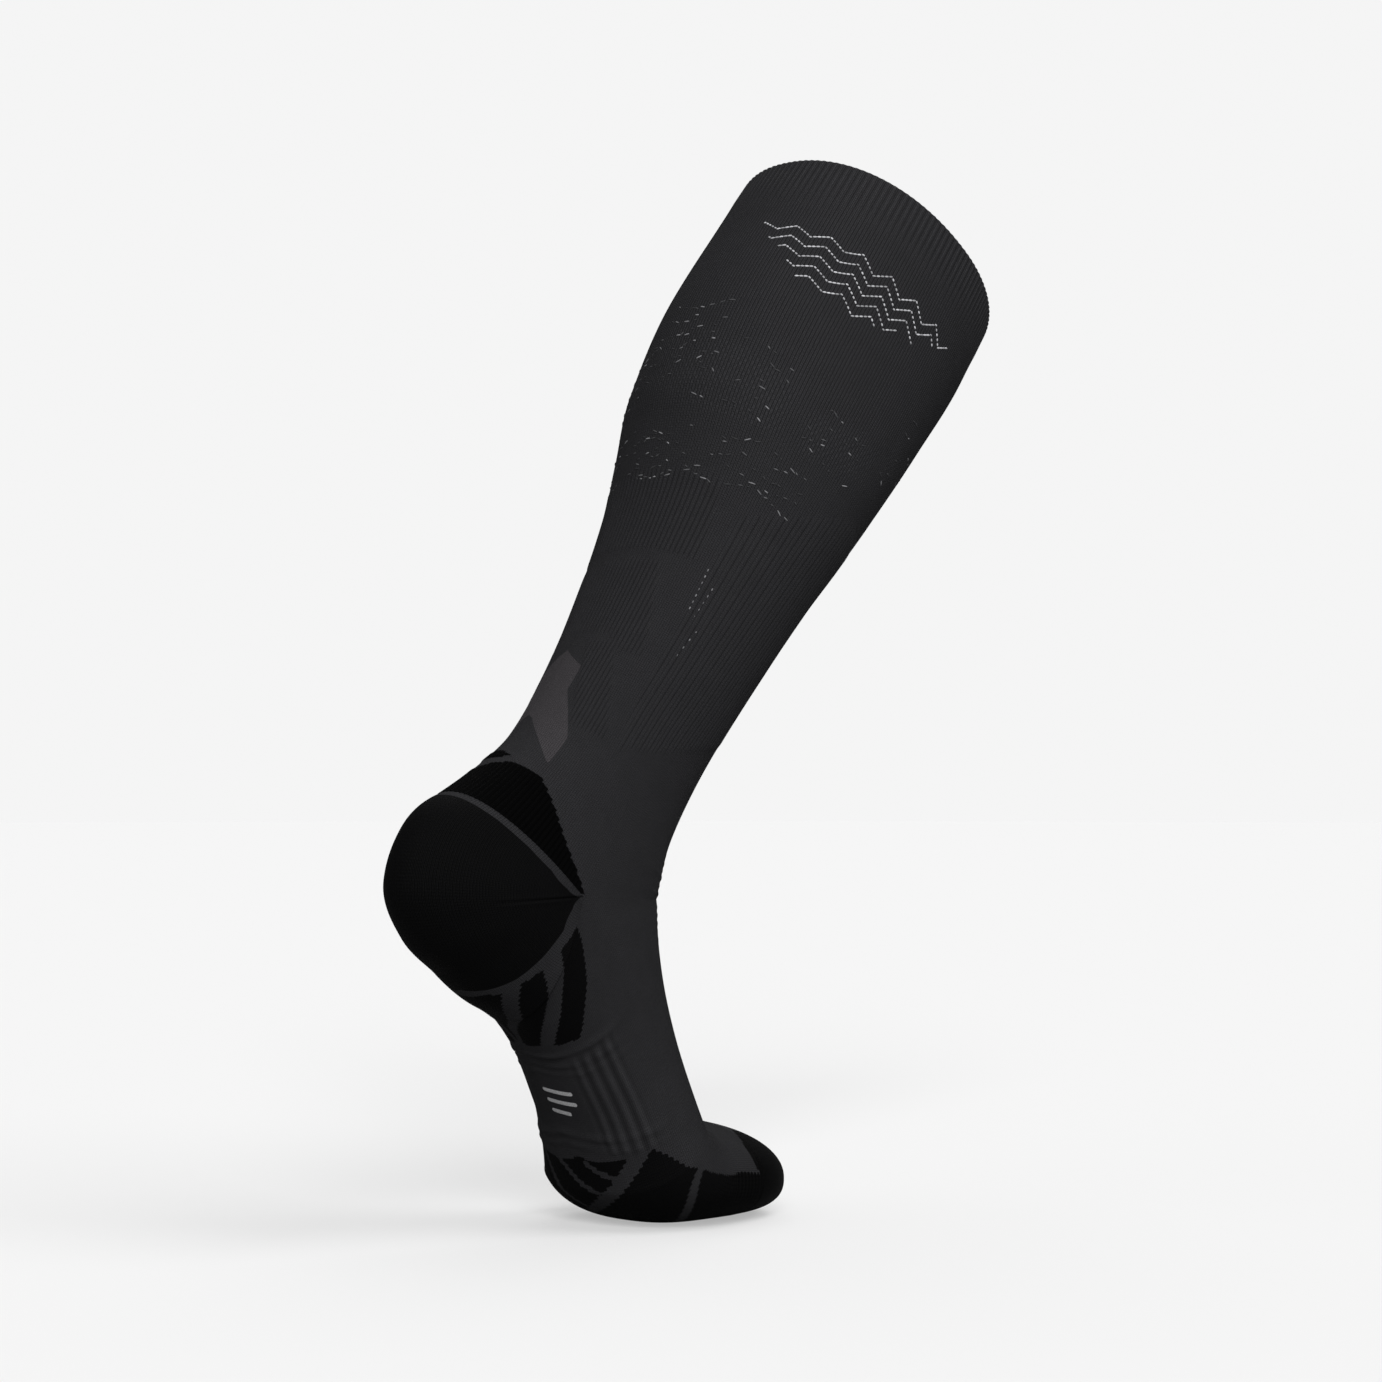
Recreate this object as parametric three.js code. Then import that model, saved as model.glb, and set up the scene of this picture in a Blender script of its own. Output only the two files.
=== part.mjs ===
// A knee-high compression sock, filled out as it is worn and empty inside.
// It is knitted as one tube, so its pieces are knitted zones: the welt at the cuff, the
// calf, the lower leg, the ankle, the collar above the heel, the heel pocket, the foot and
// the toe pocket.
// Millimetres and degrees. X runs towards the toes, Z up, and Y across the sock.
// Directions in the middle plane are measured from +X towards +Z.
import * as THREE from "three";

// Pose of the empty form: the leg leans forward, the heel is lifted, the toes lie flat.
const LEG_LEAN = 36; // from upright
const FOOT_PITCH = 56; // down from level
const HEEL_FROM = 137; // the heel pocket's first course
const HEEL_TO = 254; // and its last

// Heights up the leg from the ankle point, the corner where heel, leg and foot meet.
const CUFF_TOP = 328;
const WELT_FOOT = 299;
const CALF_FOOT = 196;
const ANKLE_TOP = 95;
const COLLAR_TOP = 30;
// Lengths along the foot from the ankle point, and past the toe crease.
const BALL_START = 110;
const TOE_CAP_START = 16;
const TOE_LENGTH = 54;

const WALL = { welt: 2.2, leg: 1.6, heel: 2.2, foot: 1.8, toe: 2.2 };
const SEAM_GAP = 0.3;
// Where leg, heel and foot meet, each is drawn back from the ankle point by its own share.
const ANKLE_GAP_SHARE = { leg: 0.65, heel: 0.4, foot: 0.85 };

// Each row is a section: how far the cloth reaches behind and in front of the side
// line, half its width, and how far each half is turned from square to the leg.
const LEG_SECTIONS = [
  { at: 0, back: 57.5, front: 59, side: 27.5, backTurn: 7, frontTurn: 33.5 },
  { at: 20, back: 48, front: 50, side: 28, backTurn: 8.8, frontTurn: 20 },
  { at: 45, back: 40.2, front: 42.2, side: 28.3, backTurn: 8.8, frontTurn: 10 },
  { at: 70, back: 38.3, front: 39.3, side: 30.2, backTurn: 4.6, frontTurn: 4 },
  { at: 95, back: 37.6, front: 38.1, side: 34.6, backTurn: 1.2, frontTurn: 0.7 },
  { at: 130, back: 39.6, front: 39, side: 41.1, backTurn: 0, frontTurn: 0 },
  { at: 160, back: 43.8, front: 40.9, side: 46.5, backTurn: 0, frontTurn: 0 },
  { at: 185, back: 52, front: 44.3, side: 50.8, backTurn: 0, frontTurn: 0 },
  { at: 210, back: 61.8, front: 48, side: 53.2, backTurn: 0, frontTurn: 0 },
  { at: 255, back: 67.3, front: 54.7, side: 54.5, backTurn: 0, frontTurn: 0 },
  { at: 300, back: 65, front: 60, side: 54.1, backTurn: 0, frontTurn: 0 },
  { at: 328, back: 63, front: 60, side: 53.7, backTurn: 0, frontTurn: 0 },
];

// The heel pocket's half sections fan out behind the ankle point.
const HEEL_SECTIONS = [
  { at: 137, back: 57.5 },
  { at: 155, back: 65.5 },
  { at: 175, back: 68.5 },
  { at: 195, back: 61 },
  { at: 215, back: 51.5 },
  { at: 235, back: 48.5 },
  { at: 254, back: 47.3 },
];

// Along the foot the side line drops from the foot's axis towards the sole. The turns
// bring the first section to the heel's last course below and the instep above.
const FOOT_SECTIONS = [
  { at: 0, sole: 47.3, instep: 59, drop: 0, side: 27.5, soleTurn: 40, instepTurn: 36.5 },
  { at: 15, sole: 41.3, instep: 50.6, drop: 0.2, side: 27.8, soleTurn: 32, instepTurn: 26.5 },
  { at: 30, sole: 36.8, instep: 42.5, drop: 0.7, side: 28, soleTurn: 24.5, instepTurn: 18 },
  { at: 50, sole: 33.5, instep: 32.5, drop: 1.7, side: 28.6, soleTurn: 15.5, instepTurn: 10 },
  { at: 75, sole: 33.6, instep: 21, drop: 4, side: 31.3, soleTurn: 6.5, instepTurn: 3.5 },
  { at: 95, sole: 36.5, instep: 12.7, drop: 7.9, side: 35.7, soleTurn: 2, instepTurn: 0.8 },
  { at: 110, sole: 40.4, instep: 7, drop: 11.6, side: 39.6, soleTurn: 0, instepTurn: 0 },
];

// The toes lie flat in front of a crease, with the sole curled round below it.
const TOE_HEIGHT = 40;
const TOE_TIP_HEIGHT = 13.5; // middle of the tip above the floor
const TOE_HEIGHT_TAPER = 0.16; // share of the height lost by the tip
const TOE_SIDE_SHARE = 0.45; // height of the side line as a share of the toes' height
const BALL_HALF_WIDTH = 41.6;
const TOE_WIDTH_TAPER = 0.1;
const CREASE_RADIUS = 1.5;
const BLUNT_TIP = 2.6; // powers of the tip's rounding, from above and at the sole
const BLUNT_SOLE = 5;

// Powers of the section curves: 2 is an ellipse, and more is squarer.
const LEG_BACK_POWER = 2.2;
const FRONT_POWER = 2;
const SOLE_POWER = 2.4;
const BALL_POWER = 2.5;
const TOE_TOP_POWER = 2.1;

// Ribs: 126 round the welt, each two wales wide, and 84 of three wales in the leg's panels.
const WELT_RIBS = 126;
const PANEL_RIBS = 84;
const WELT_RIB_HEIGHT = 0.6;
const PANEL_RIB_HEIGHT = 0.45;
// Ribbed panels, the same on both sides. Angles run round the leg from the middle of the
// back, and low and high edges climb with the angle by so many millimetres a degree.
const RIB_PANELS = [
  { from: 0, to: 44, low: 137, high: 172, climb: 0 },
  { from: 0, to: 44, low: 97, high: 131, climb: 0 },
  { from: 14, to: 50, low: 46, high: 92, climb: 0 },
  { from: 54, to: 180, low: 54, high: 160, climb: 0.45 },
];

// Steps of the meshes. The inside of each wall has only some of the outer columns, and
// both counts divide by four.
const PLAIN_COLUMNS = 64;
const PLAIN_TO_INNER = 2;
const WELT_TO_INNER = 3;
const PANEL_TO_INNER = 3;
const HEEL_COLUMNS = 28;
const CURVE_STEPS = 40;
const STEPS = {
  welt: 2,
  calf: 6,
  leg: 6,
  ankle: 5,
  collar: 3,
  heel: 10,
  foot: 8,
  ball: 5,
  toe: 7,
};
const LAST_TOE_TURN = 75; // the toe pocket's last section, as degrees round the tip's curve

const RADIANS = Math.PI / 180;
const Y_ACROSS = new THREE.Vector3(0, 1, 0);

const direction = (degrees) =>
  new THREE.Vector3(Math.cos(degrees * RADIANS), 0, Math.sin(degrees * RADIANS));

const UP_THE_LEG = direction(90 - LEG_LEAN);
const ALONG_THE_FOOT = direction(-FOOT_PITCH);
const ABOVE_THE_FOOT = direction(90 - FOOT_PITCH);
const DOWN = direction(270);
const UP = direction(90);

// A column of a section table at any place, on a smooth curve that never overshoots:
// cubic pieces whose slopes are the weighted harmonic means of their neighbours'.
function valueAt(rows, column, place) {
  const x = rows.map((row) => row.at);
  const y = rows.map((row) => row[column]);
  const last = rows.length - 1;
  const width = (i) => x[i + 1] - x[i];
  const rise = (i) => (y[i + 1] - y[i]) / width(i);
  const endSlope = (near, far) => {
    const slope =
      ((2 * width(near) + width(far)) * rise(near) - width(near) * rise(far)) /
      (width(near) + width(far));
    if (slope * rise(near) <= 0) return 0;
    const turns = rise(near) * rise(far) <= 0;
    return turns && Math.abs(slope) > 3 * Math.abs(rise(near)) ? 3 * rise(near) : slope;
  };
  const slopeAt = (i) => {
    if (i === 0) return endSlope(0, 1);
    if (i === last) return endSlope(last - 1, last - 2);
    if (rise(i - 1) * rise(i) <= 0) return 0;
    const before = 2 * width(i) + width(i - 1);
    const after = width(i) + 2 * width(i - 1);
    return (before + after) / (before / rise(i - 1) + after / rise(i));
  };
  let i = 0;
  while (i < last - 1 && place > x[i + 1]) i += 1;
  const t = (place - x[i]) / width(i);
  return (
    (1 + 2 * t) * (1 - t) ** 2 * y[i] +
    t * (1 - t) ** 2 * width(i) * slopeAt(i) +
    t * t * (3 - 2 * t) * y[i + 1] +
    t * t * (t - 1) * width(i) * slopeAt(i + 1)
  );
}

// Points at equal steps along a quarter of a section, from its far reach to the side.
function quarter(reach, side, power, steps) {
  const curve = [];
  const length = [0];
  for (let k = 0; k <= CURVE_STEPS; k += 1) {
    const angle = (k / CURVE_STEPS) * 90 * RADIANS;
    const out = reach * Math.max(Math.cos(angle), 0) ** (2 / power);
    const across = side * Math.sin(angle) ** (2 / power);
    curve.push([out, across]);
    if (k > 0) length.push(length[k - 1] + Math.hypot(out - curve[k - 1][0], across - curve[k - 1][1]));
  }
  const points = [];
  for (let step = 0, k = 0; step <= steps; step += 1) {
    const wanted = (step / steps) * length[CURVE_STEPS];
    while (k < CURVE_STEPS - 1 && length[k + 1] < wanted) k += 1;
    const share = (wanted - length[k]) / (length[k + 1] - length[k]);
    points.push([0, 1].map((axis) => THREE.MathUtils.lerp(curve[k][axis], curve[k + 1][axis], share)));
  }
  return points;
}

// One section's points, moved out or in by an offset: from the middle of the back or
// sole, round the near side (-Y), the front, and the far side.
function sectionLoop(section, columns, offset) {
  const steps = columns / 4;
  const back = quarter(section.back + offset, section.side + offset, section.backPower, steps);
  const front = quarter(section.front + offset, section.side + offset, section.frontPower, steps);
  const place = ([out, across], towards, hand) =>
    section.point.clone().addScaledVector(towards, out).addScaledVector(Y_ACROSS, hand * across);
  return [
    ...back.slice(0, steps).map((p) => place(p, section.backward, -1)),
    ...front.slice(1).reverse().map((p) => place(p, section.forward, -1)),
    ...front.slice(0, steps).map((p) => place(p, section.forward, 1)),
    ...back.slice(1).reverse().map((p) => place(p, section.backward, 1)),
  ];
}

function legSection(at) {
  const value = (column) => valueAt(LEG_SECTIONS, column, at);
  return {
    at,
    point: UP_THE_LEG.clone().multiplyScalar(at),
    backward: direction(180 - LEG_LEAN - value("backTurn")),
    forward: direction(-LEG_LEAN + value("frontTurn")),
    back: value("back"),
    front: value("front"),
    side: value("side"),
    backPower: LEG_BACK_POWER,
    frontPower: FRONT_POWER,
  };
}

function footSection(at) {
  const value = (column) => valueAt(FOOT_SECTIONS, column, at);
  const point = ALONG_THE_FOOT.clone().multiplyScalar(at);
  return {
    point: point.addScaledVector(ABOVE_THE_FOOT, -value("drop")),
    backward: direction(270 - FOOT_PITCH + value("soleTurn")),
    forward: direction(90 - FOOT_PITCH - value("instepTurn")),
    back: value("sole") - value("drop"),
    front: value("instep") + value("drop"),
    side: value("side"),
    backPower: SOLE_POWER,
    frontPower: FRONT_POWER,
  };
}

const ballStart = FOOT_SECTIONS[FOOT_SECTIONS.length - 1];
const creaseCentre = ALONG_THE_FOOT.clone()
  .multiplyScalar(BALL_START)
  .addScaledVector(ABOVE_THE_FOOT, ballStart.instep + CREASE_RADIUS);

// Sections that turn about the toe crease, from the foot's pitch (0) to flat (1).
function ballSection(share) {
  const eased = THREE.MathUtils.smoothstep(share, 0, 1);
  const towards = direction(270 - FOOT_PITCH * (1 - share));
  const above = ballStart.instep + ballStart.drop;
  const below = ballStart.sole - ballStart.drop;
  const front = THREE.MathUtils.lerp(above, TOE_HEIGHT * (1 - TOE_SIDE_SHARE), eased);
  const widening = Math.sin(share * 90 * RADIANS);
  return {
    point: creaseCentre.clone().addScaledVector(towards, CREASE_RADIUS + front),
    backward: towards,
    forward: towards.clone().negate(),
    back: THREE.MathUtils.lerp(below, TOE_HEIGHT * TOE_SIDE_SHARE, eased),
    front,
    side: THREE.MathUtils.lerp(ballStart.side, BALL_HALF_WIDTH, widening),
    backPower: BALL_POWER,
    frontPower: TOE_TOP_POWER,
  };
}

const floorBelowCrease = creaseCentre.clone().addScaledVector(DOWN, CREASE_RADIUS + TOE_HEIGHT);

// Upright sections of the flat toes, ahead of the crease, narrowing to a blunt tip.
function toeSection(ahead) {
  const share = ahead / TOE_LENGTH;
  const sideHeight = THREE.MathUtils.lerp(TOE_HEIGHT * TOE_SIDE_SHARE, TOE_TIP_HEIGHT, share);
  const rounding = Math.sqrt(1 - share ** BLUNT_TIP);
  const point = floorBelowCrease.clone().add(new THREE.Vector3(ahead, 0, sideHeight));
  return {
    point,
    backward: DOWN,
    forward: UP,
    back: sideHeight * Math.sqrt(1 - share ** BLUNT_SOLE),
    front: (TOE_HEIGHT * (1 - TOE_HEIGHT_TAPER * share) - sideHeight) * rounding,
    side: BALL_HALF_WIDTH * (1 - TOE_WIDTH_TAPER * share) * rounding,
    backPower: BALL_POWER,
    frontPower: TOE_TOP_POWER,
  };
}

function moved(section, towards, distance) {
  return { ...section, point: section.point.clone().addScaledVector(towards, distance) };
}

function evenly(from, to, steps) {
  return Array.from({ length: steps + 1 }, (_, k) => THREE.MathUtils.lerp(from, to, k / steps));
}

// A closed skin put together from loops of points. A loop with fewer points than its
// neighbour repeats each of them, and the faces that this leaves empty are dropped.
class Skin {
  points = [];
  faces = [];

  loop(points, repeats = 1) {
    const start = this.points.length;
    this.points.push(...points);
    return points.flatMap((_, k) => Array(repeats).fill(start + k));
  }

  face(a, b, c) {
    if (a !== b && b !== c && c !== a) this.faces.push([a, b, c]);
  }

  join(lower, upper) {
    lower.forEach((a, k) => {
      const next = (k + 1) % lower.length;
      this.face(a, lower[next], upper[next]);
      this.face(a, upper[next], upper[k]);
    });
  }

  // Joins each loop to the next.
  joinAll(loops) {
    loops.slice(1).forEach((loop, k) => this.join(loops[k], loop));
  }

  // The geometry, turned so that its faces point out of the cloth.
  geometry() {
    const [p, q, r] = [0, 1, 2].map(() => new THREE.Vector3());
    let volume = 0;
    this.faces.forEach(([a, b, c]) => {
      p.copy(this.points[a]);
      q.copy(this.points[b]);
      r.copy(this.points[c]);
      volume += p.dot(q.cross(r));
    });
    const outward = volume > 0 ? this.faces : this.faces.map(([a, b, c]) => [a, c, b]);
    const geometry = new THREE.BufferGeometry().setFromPoints(this.points).setIndex(outward.flat());
    geometry.computeVertexNormals();
    return geometry;
  }
}

// A knitted tube's wall: its outer points, raised where ribs stand, over a plain inside.
function tubeWall({ sections, wall, columns, toInner, ribHeight = () => 0 }) {
  const skin = new Skin();
  const outer = sections.map((section) => {
    const grooves = sectionLoop(section, columns, 0);
    const points = grooves.map((point, column) => {
      const height = column % 2 === 1 ? ribHeight(section.at, (column / columns) * 360) : 0;
      return height > 0 ? sectionLoop(section, columns, height)[column] : point;
    });
    return skin.loop(points);
  });
  const inner = sections.map((section) =>
    skin.loop(sectionLoop(section, columns / toInner, -wall), toInner),
  );
  inner.reverse();
  skin.joinAll([...outer, ...inner, outer[0]]);
  return skin.geometry();
}

// The toe pocket: the same wall, closed at the tip outside and inside.
function pocketWall({ sections, wall, columns, toInner, tip }) {
  const skin = new Skin();
  const outer = sections.map((section) => skin.loop(sectionLoop(section, columns, 0)));
  const inner = sections.map((section) =>
    skin.loop(sectionLoop(section, columns / toInner, -wall), toInner),
  );
  const outerTip = skin.loop([tip], columns);
  const innerTip = skin.loop([tip.clone().add(new THREE.Vector3(-wall, 0, 0))], columns);
  inner.reverse();
  skin.joinAll([...outer, outerTip]);
  skin.joinAll([innerTip, ...inner, outer[0]]);
  return skin.geometry();
}

// The heel pocket: half sections that fan about the ankle point, a crescent of wall
// whose two ends are the points where the heel's first and last courses meet.
function heelWall({ centre, wall, columns, directions }) {
  const skin = new Skin();
  const halfSection = (towards, offset) => {
    const reach = valueAt(HEEL_SECTIONS, "back", towards) + offset;
    const side = LEG_SECTIONS[0].side + offset;
    const half = quarter(reach, side, LEG_BACK_POWER, columns / 2);
    const place = ([out, across], hand) =>
      centre.clone().addScaledVector(direction(towards), out).addScaledVector(Y_ACROSS, hand * across);
    return [
      ...half.slice(1).reverse().map((p) => place(p, -1)),
      ...half.map((p) => place(p, 1)),
    ];
  };
  const outer = directions.map((towards) => halfSection(towards, 0));
  const inner = directions.map((towards) => halfSection(towards, -wall)).reverse();
  // Each loop runs down the outside and back up the inside of one wale.
  const loops = evenly(0, columns, columns).map((column) => {
    const atEnd = column === 0 || column === columns;
    if (!atEnd) return skin.loop([...outer, ...inner].map((row) => row[column]));
    const repeats = directions.length;
    return [...skin.loop([outer[0][column]], repeats), ...skin.loop([inner[0][column]], repeats)];
  });
  skin.joinAll(loops);
  return skin.geometry();
}

// The height of a panel's ribs at a place on the lower leg or the ankle.
function panelRibHeight(at, around) {
  const angle = around > 180 ? 360 - around : around;
  const ribbed = RIB_PANELS.some(({ from, to, low, high, climb }) => {
    const lift = (angle - from) * climb;
    return angle >= from && angle <= to && at >= low + lift && at <= high + lift;
  });
  return ribbed ? PANEL_RIB_HEIGHT : 0;
}

const halfGap = SEAM_GAP / 2;
const legEnd = moved(legSection(0), UP_THE_LEG, SEAM_GAP * ANKLE_GAP_SHARE.leg);
const footStart = moved(footSection(0), ALONG_THE_FOOT, SEAM_GAP * ANKLE_GAP_SHARE.foot);
const heelMiddle = direction((HEEL_FROM + HEEL_TO) / 2);
const heelCentre = heelMiddle.multiplyScalar(SEAM_GAP * ANKLE_GAP_SHARE.heel);
const toeCapBegins = TOE_CAP_START + halfGap;

const zones = {
  cuff_welt: tubeWall({
    sections: evenly(CUFF_TOP, WELT_FOOT + halfGap, STEPS.welt).map(legSection),
    wall: WALL.welt,
    columns: 2 * WELT_RIBS,
    toInner: WELT_TO_INNER,
    ribHeight: () => WELT_RIB_HEIGHT,
  }),
  calf: tubeWall({
    sections: evenly(WELT_FOOT - halfGap, CALF_FOOT + halfGap, STEPS.calf).map(legSection),
    wall: WALL.leg,
    columns: PLAIN_COLUMNS,
    toInner: PLAIN_TO_INNER,
  }),
  lower_leg: tubeWall({
    sections: evenly(CALF_FOOT - halfGap, ANKLE_TOP + halfGap, STEPS.leg).map(legSection),
    wall: WALL.leg,
    columns: 2 * PANEL_RIBS,
    toInner: PANEL_TO_INNER,
    ribHeight: panelRibHeight,
  }),
  ankle: tubeWall({
    sections: evenly(ANKLE_TOP - halfGap, COLLAR_TOP + halfGap, STEPS.ankle).map(legSection),
    wall: WALL.leg,
    columns: 2 * PANEL_RIBS,
    toInner: PANEL_TO_INNER,
    ribHeight: panelRibHeight,
  }),
  collar: tubeWall({
    sections: [
      ...evenly(COLLAR_TOP - halfGap, 0, STEPS.collar).slice(0, -1).map(legSection),
      legEnd,
    ],
    wall: WALL.leg,
    columns: PLAIN_COLUMNS,
    toInner: PLAIN_TO_INNER,
  }),
  heel_pocket: heelWall({
    centre: heelCentre,
    wall: WALL.heel,
    columns: HEEL_COLUMNS,
    directions: evenly(HEEL_FROM, HEEL_TO, STEPS.heel),
  }),
  foot: tubeWall({
    sections: [
      footStart,
      ...evenly(0, BALL_START, STEPS.foot).slice(1).map(footSection),
      ...evenly(0, 1, STEPS.ball).slice(1).map(ballSection),
      toeSection(TOE_CAP_START / 2),
      toeSection(TOE_CAP_START - halfGap),
    ],
    wall: WALL.foot,
    columns: PLAIN_COLUMNS,
    toInner: PLAIN_TO_INNER,
  }),
  toe_pocket: pocketWall({
    sections: evenly(0, LAST_TOE_TURN, STEPS.toe).map((turn) =>
      toeSection(toeCapBegins + (TOE_LENGTH - toeCapBegins) * Math.sin(turn * RADIANS)),
    ),
    wall: WALL.toe,
    columns: PLAIN_COLUMNS,
    toInner: PLAIN_TO_INNER,
    tip: toeSection(TOE_LENGTH).point,
  }),
};

const charcoalKnit = { color: 0x29292b, roughness: 0.9, metalness: 0 };
const blackKnit = { color: 0x08080a, roughness: 0.92, metalness: 0 };
const zoneFinish = { heel_pocket: blackKnit, toe_pocket: blackKnit };

// The part's origin is the middle of the open cuff, where the leg holds the sock up.
const cuff = legSection(CUFF_TOP);
const cuffMiddle = cuff.point
  .clone()
  .addScaledVector(cuff.forward, cuff.front / 2)
  .addScaledVector(cuff.backward, cuff.back / 2);

const sock = new THREE.Group();
sock.name = "compression_sock";
sock.position.copy(cuffMiddle).negate();
for (const [name, geometry] of Object.entries(zones)) {
  const mesh = new THREE.Mesh(geometry, new THREE.MeshStandardMaterial(zoneFinish[name] ?? charcoalKnit));
  mesh.name = name;
  sock.add(mesh);
}

export default sock;
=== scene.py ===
import math

import bmesh
import bpy
import numpy as np
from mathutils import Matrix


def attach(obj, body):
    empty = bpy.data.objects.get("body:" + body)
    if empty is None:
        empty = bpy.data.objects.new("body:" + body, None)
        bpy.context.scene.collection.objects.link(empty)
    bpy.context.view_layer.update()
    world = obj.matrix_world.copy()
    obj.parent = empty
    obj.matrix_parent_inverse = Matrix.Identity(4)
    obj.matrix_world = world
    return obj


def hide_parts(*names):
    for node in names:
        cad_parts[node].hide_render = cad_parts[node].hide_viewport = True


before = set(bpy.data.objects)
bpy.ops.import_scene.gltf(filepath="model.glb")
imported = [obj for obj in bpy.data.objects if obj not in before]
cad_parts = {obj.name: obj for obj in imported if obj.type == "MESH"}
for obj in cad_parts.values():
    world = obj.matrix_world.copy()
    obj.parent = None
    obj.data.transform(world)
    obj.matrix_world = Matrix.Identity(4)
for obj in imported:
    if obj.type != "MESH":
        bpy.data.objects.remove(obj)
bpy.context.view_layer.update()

# The cuff welt: a band of wide ribs, knitted double and turned over at its top edge.
# Charcoal polyamide with elastane. It is knitted first, and its grip holds the sock up.
# Sizes are millimetres and degrees, and meshes are metres.
MM = 0.001
WALES = 252  # stitches round the tube, from the middle of the back
LEG_LEAN = 36  # from upright
CUFF_TOP = 328  # heights up the leg from the ankle point
WELT_FOOT = 299
WELT_WALL = 2.2
WELT_ROWS, WELT_INNER_ROWS, WELT_EDGE_ROWS = 30, 9, 5
WELT_RIB_WALES = 2
WELT_RIB_HEIGHT = 0.45
WELT_GROOVE_SHADE = 0.6  # how dark the painted shade on a groove's floor is: 1 is the darkest
WELT_FADE = 16  # millimetres over which its ribs take over from the calf's finer ones
WELT_EDGE_SHARE = 0.3  # of the ribs' height that is left at the cuff's edge
FINE_RIB_HEIGHT = 0.24
# Painted shade on the floors of the fine ribs' grooves.
FINE_GROOVE_SHADE = 0.75
FINE_COLUMNS = 4 * WALES  # round the welt and the calf
SEAM_ROW = 0.06  # a row this near each seam keeps the shading smooth up to it
BACK_POWER = 2.2
FRONT_POWER = 2
CURVE_STEPS = 160


def table(columns, *rows):
    """Rows of numbers as a dict of named columns."""
    return dict(zip(columns.split(), np.array(rows, float).T))


# Each row is a section: how far the cloth reaches behind and in front of the side line,
# half its width, and how far each half is turned from square to the leg.
LEG_SECTIONS = table(
    "at back front side back_turn front_turn",
    (0, 57.5, 59, 27.5, 7, 33.5),
    (20, 48, 50, 28, 8.8, 20),
    (45, 40.2, 42.2, 28.3, 8.8, 10),
    (70, 38.3, 39.3, 30.2, 4.6, 4),
    (95, 37.6, 38.1, 34.6, 1.2, 0.7),
    (130, 39.6, 39, 41.1, 0, 0),
    (160, 43.8, 40.9, 46.5, 0, 0),
    (185, 52, 44.3, 50.8, 0, 0),
    (210, 61.8, 48, 53.2, 0, 0),
    (255, 67.3, 54.7, 54.5, 0, 0),
    (300, 65, 60, 54.1, 0, 0),
    (328, 63, 60, 53.7, 0, 0),
)


def end_slope(width, rise, near, far):
    """The slope at an end of a smooth column, from its two nearest pieces."""
    slope = (2 * width[near] + width[far]) * rise[near] - width[near] * rise[far]
    slope /= width[near] + width[far]
    if slope * rise[near] <= 0:
        return 0
    steep = abs(slope) > 3 * abs(rise[near])
    return 3 * rise[near] if rise[near] * rise[far] <= 0 and steep else slope


def smooth(rows, column, at):
    """A column at any places: cubic pieces whose slopes are the weighted harmonic means
    of their neighbours', so that the curve never overshoots."""
    x, y = rows["at"], rows[column]
    width = np.diff(x)
    rise = np.diff(y) / width
    before = 2 * width[1:] + width[:-1]
    after = width[1:] + 2 * width[:-1]
    same = rise[:-1] * rise[1:] > 0
    low, high = np.where(same, rise[:-1], 1), np.where(same, rise[1:], 1)
    inner = np.where(same, (before + after) / (before / low + after / high), 0)
    first, last = end_slope(width, rise, 0, 1), end_slope(width, rise, -1, -2)
    slope = np.concatenate([[first], inner, [last]])
    k = np.clip(np.searchsorted(x, at) - 1, 0, len(x) - 2)
    t = (at - x[k]) / width[k]
    ends = (1 + 2 * t) * (1 - t) ** 2 * y[k] + t * t * (3 - 2 * t) * y[k + 1]
    slopes = t * (1 - t) ** 2 * slope[k] + t * t * (t - 1) * slope[k + 1]
    return ends + width[k] * slopes


def direction(degrees):
    """Unit vectors in the middle plane, from +X towards +Z."""
    radians = np.radians(np.asarray(degrees, float))
    return np.stack([np.cos(radians), 0 * radians, np.sin(radians)], -1)


UP_THE_LEG = direction(90 - LEG_LEAN)


def leg_sections(at):
    """Sections of the leg: two half superellipses that meet on the side line."""
    value = lambda column: smooth(LEG_SECTIONS, column, at)
    return {
        "point": at[:, None] * UP_THE_LEG,
        "backward": direction(180 - LEG_LEAN - value("back_turn")),
        "forward": direction(value("front_turn") - LEG_LEAN),
        "back": value("back"),
        "front": value("front"),
        "side": value("side"),
        "back_power": BACK_POWER,
        "front_power": FRONT_POWER,
    }


def quarters(reach, side, power, steps):
    """Points at equal steps along quarters of superellipses, a row for each section:
    (out / reach)^power + (across / side)^power = 1, from the far reach to the side."""
    turn = np.linspace(0, math.pi / 2, CURVE_STEPS + 1)
    share = 2 / np.reshape(power, (-1, 1))
    out = reach[:, None] * np.cos(turn).clip(0) ** share
    across = side[:, None] * np.sin(turn) ** share
    step = np.hypot(np.diff(out), np.diff(across))
    length = np.pad(np.cumsum(step, 1), ((0, 0), (1, 0)))
    wanted = length[:, -1:] * np.linspace(0, 1, steps + 1)
    at_steps = lambda values: np.array([*map(np.interp, wanted, length, values)])
    return at_steps(out), at_steps(across)


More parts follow.
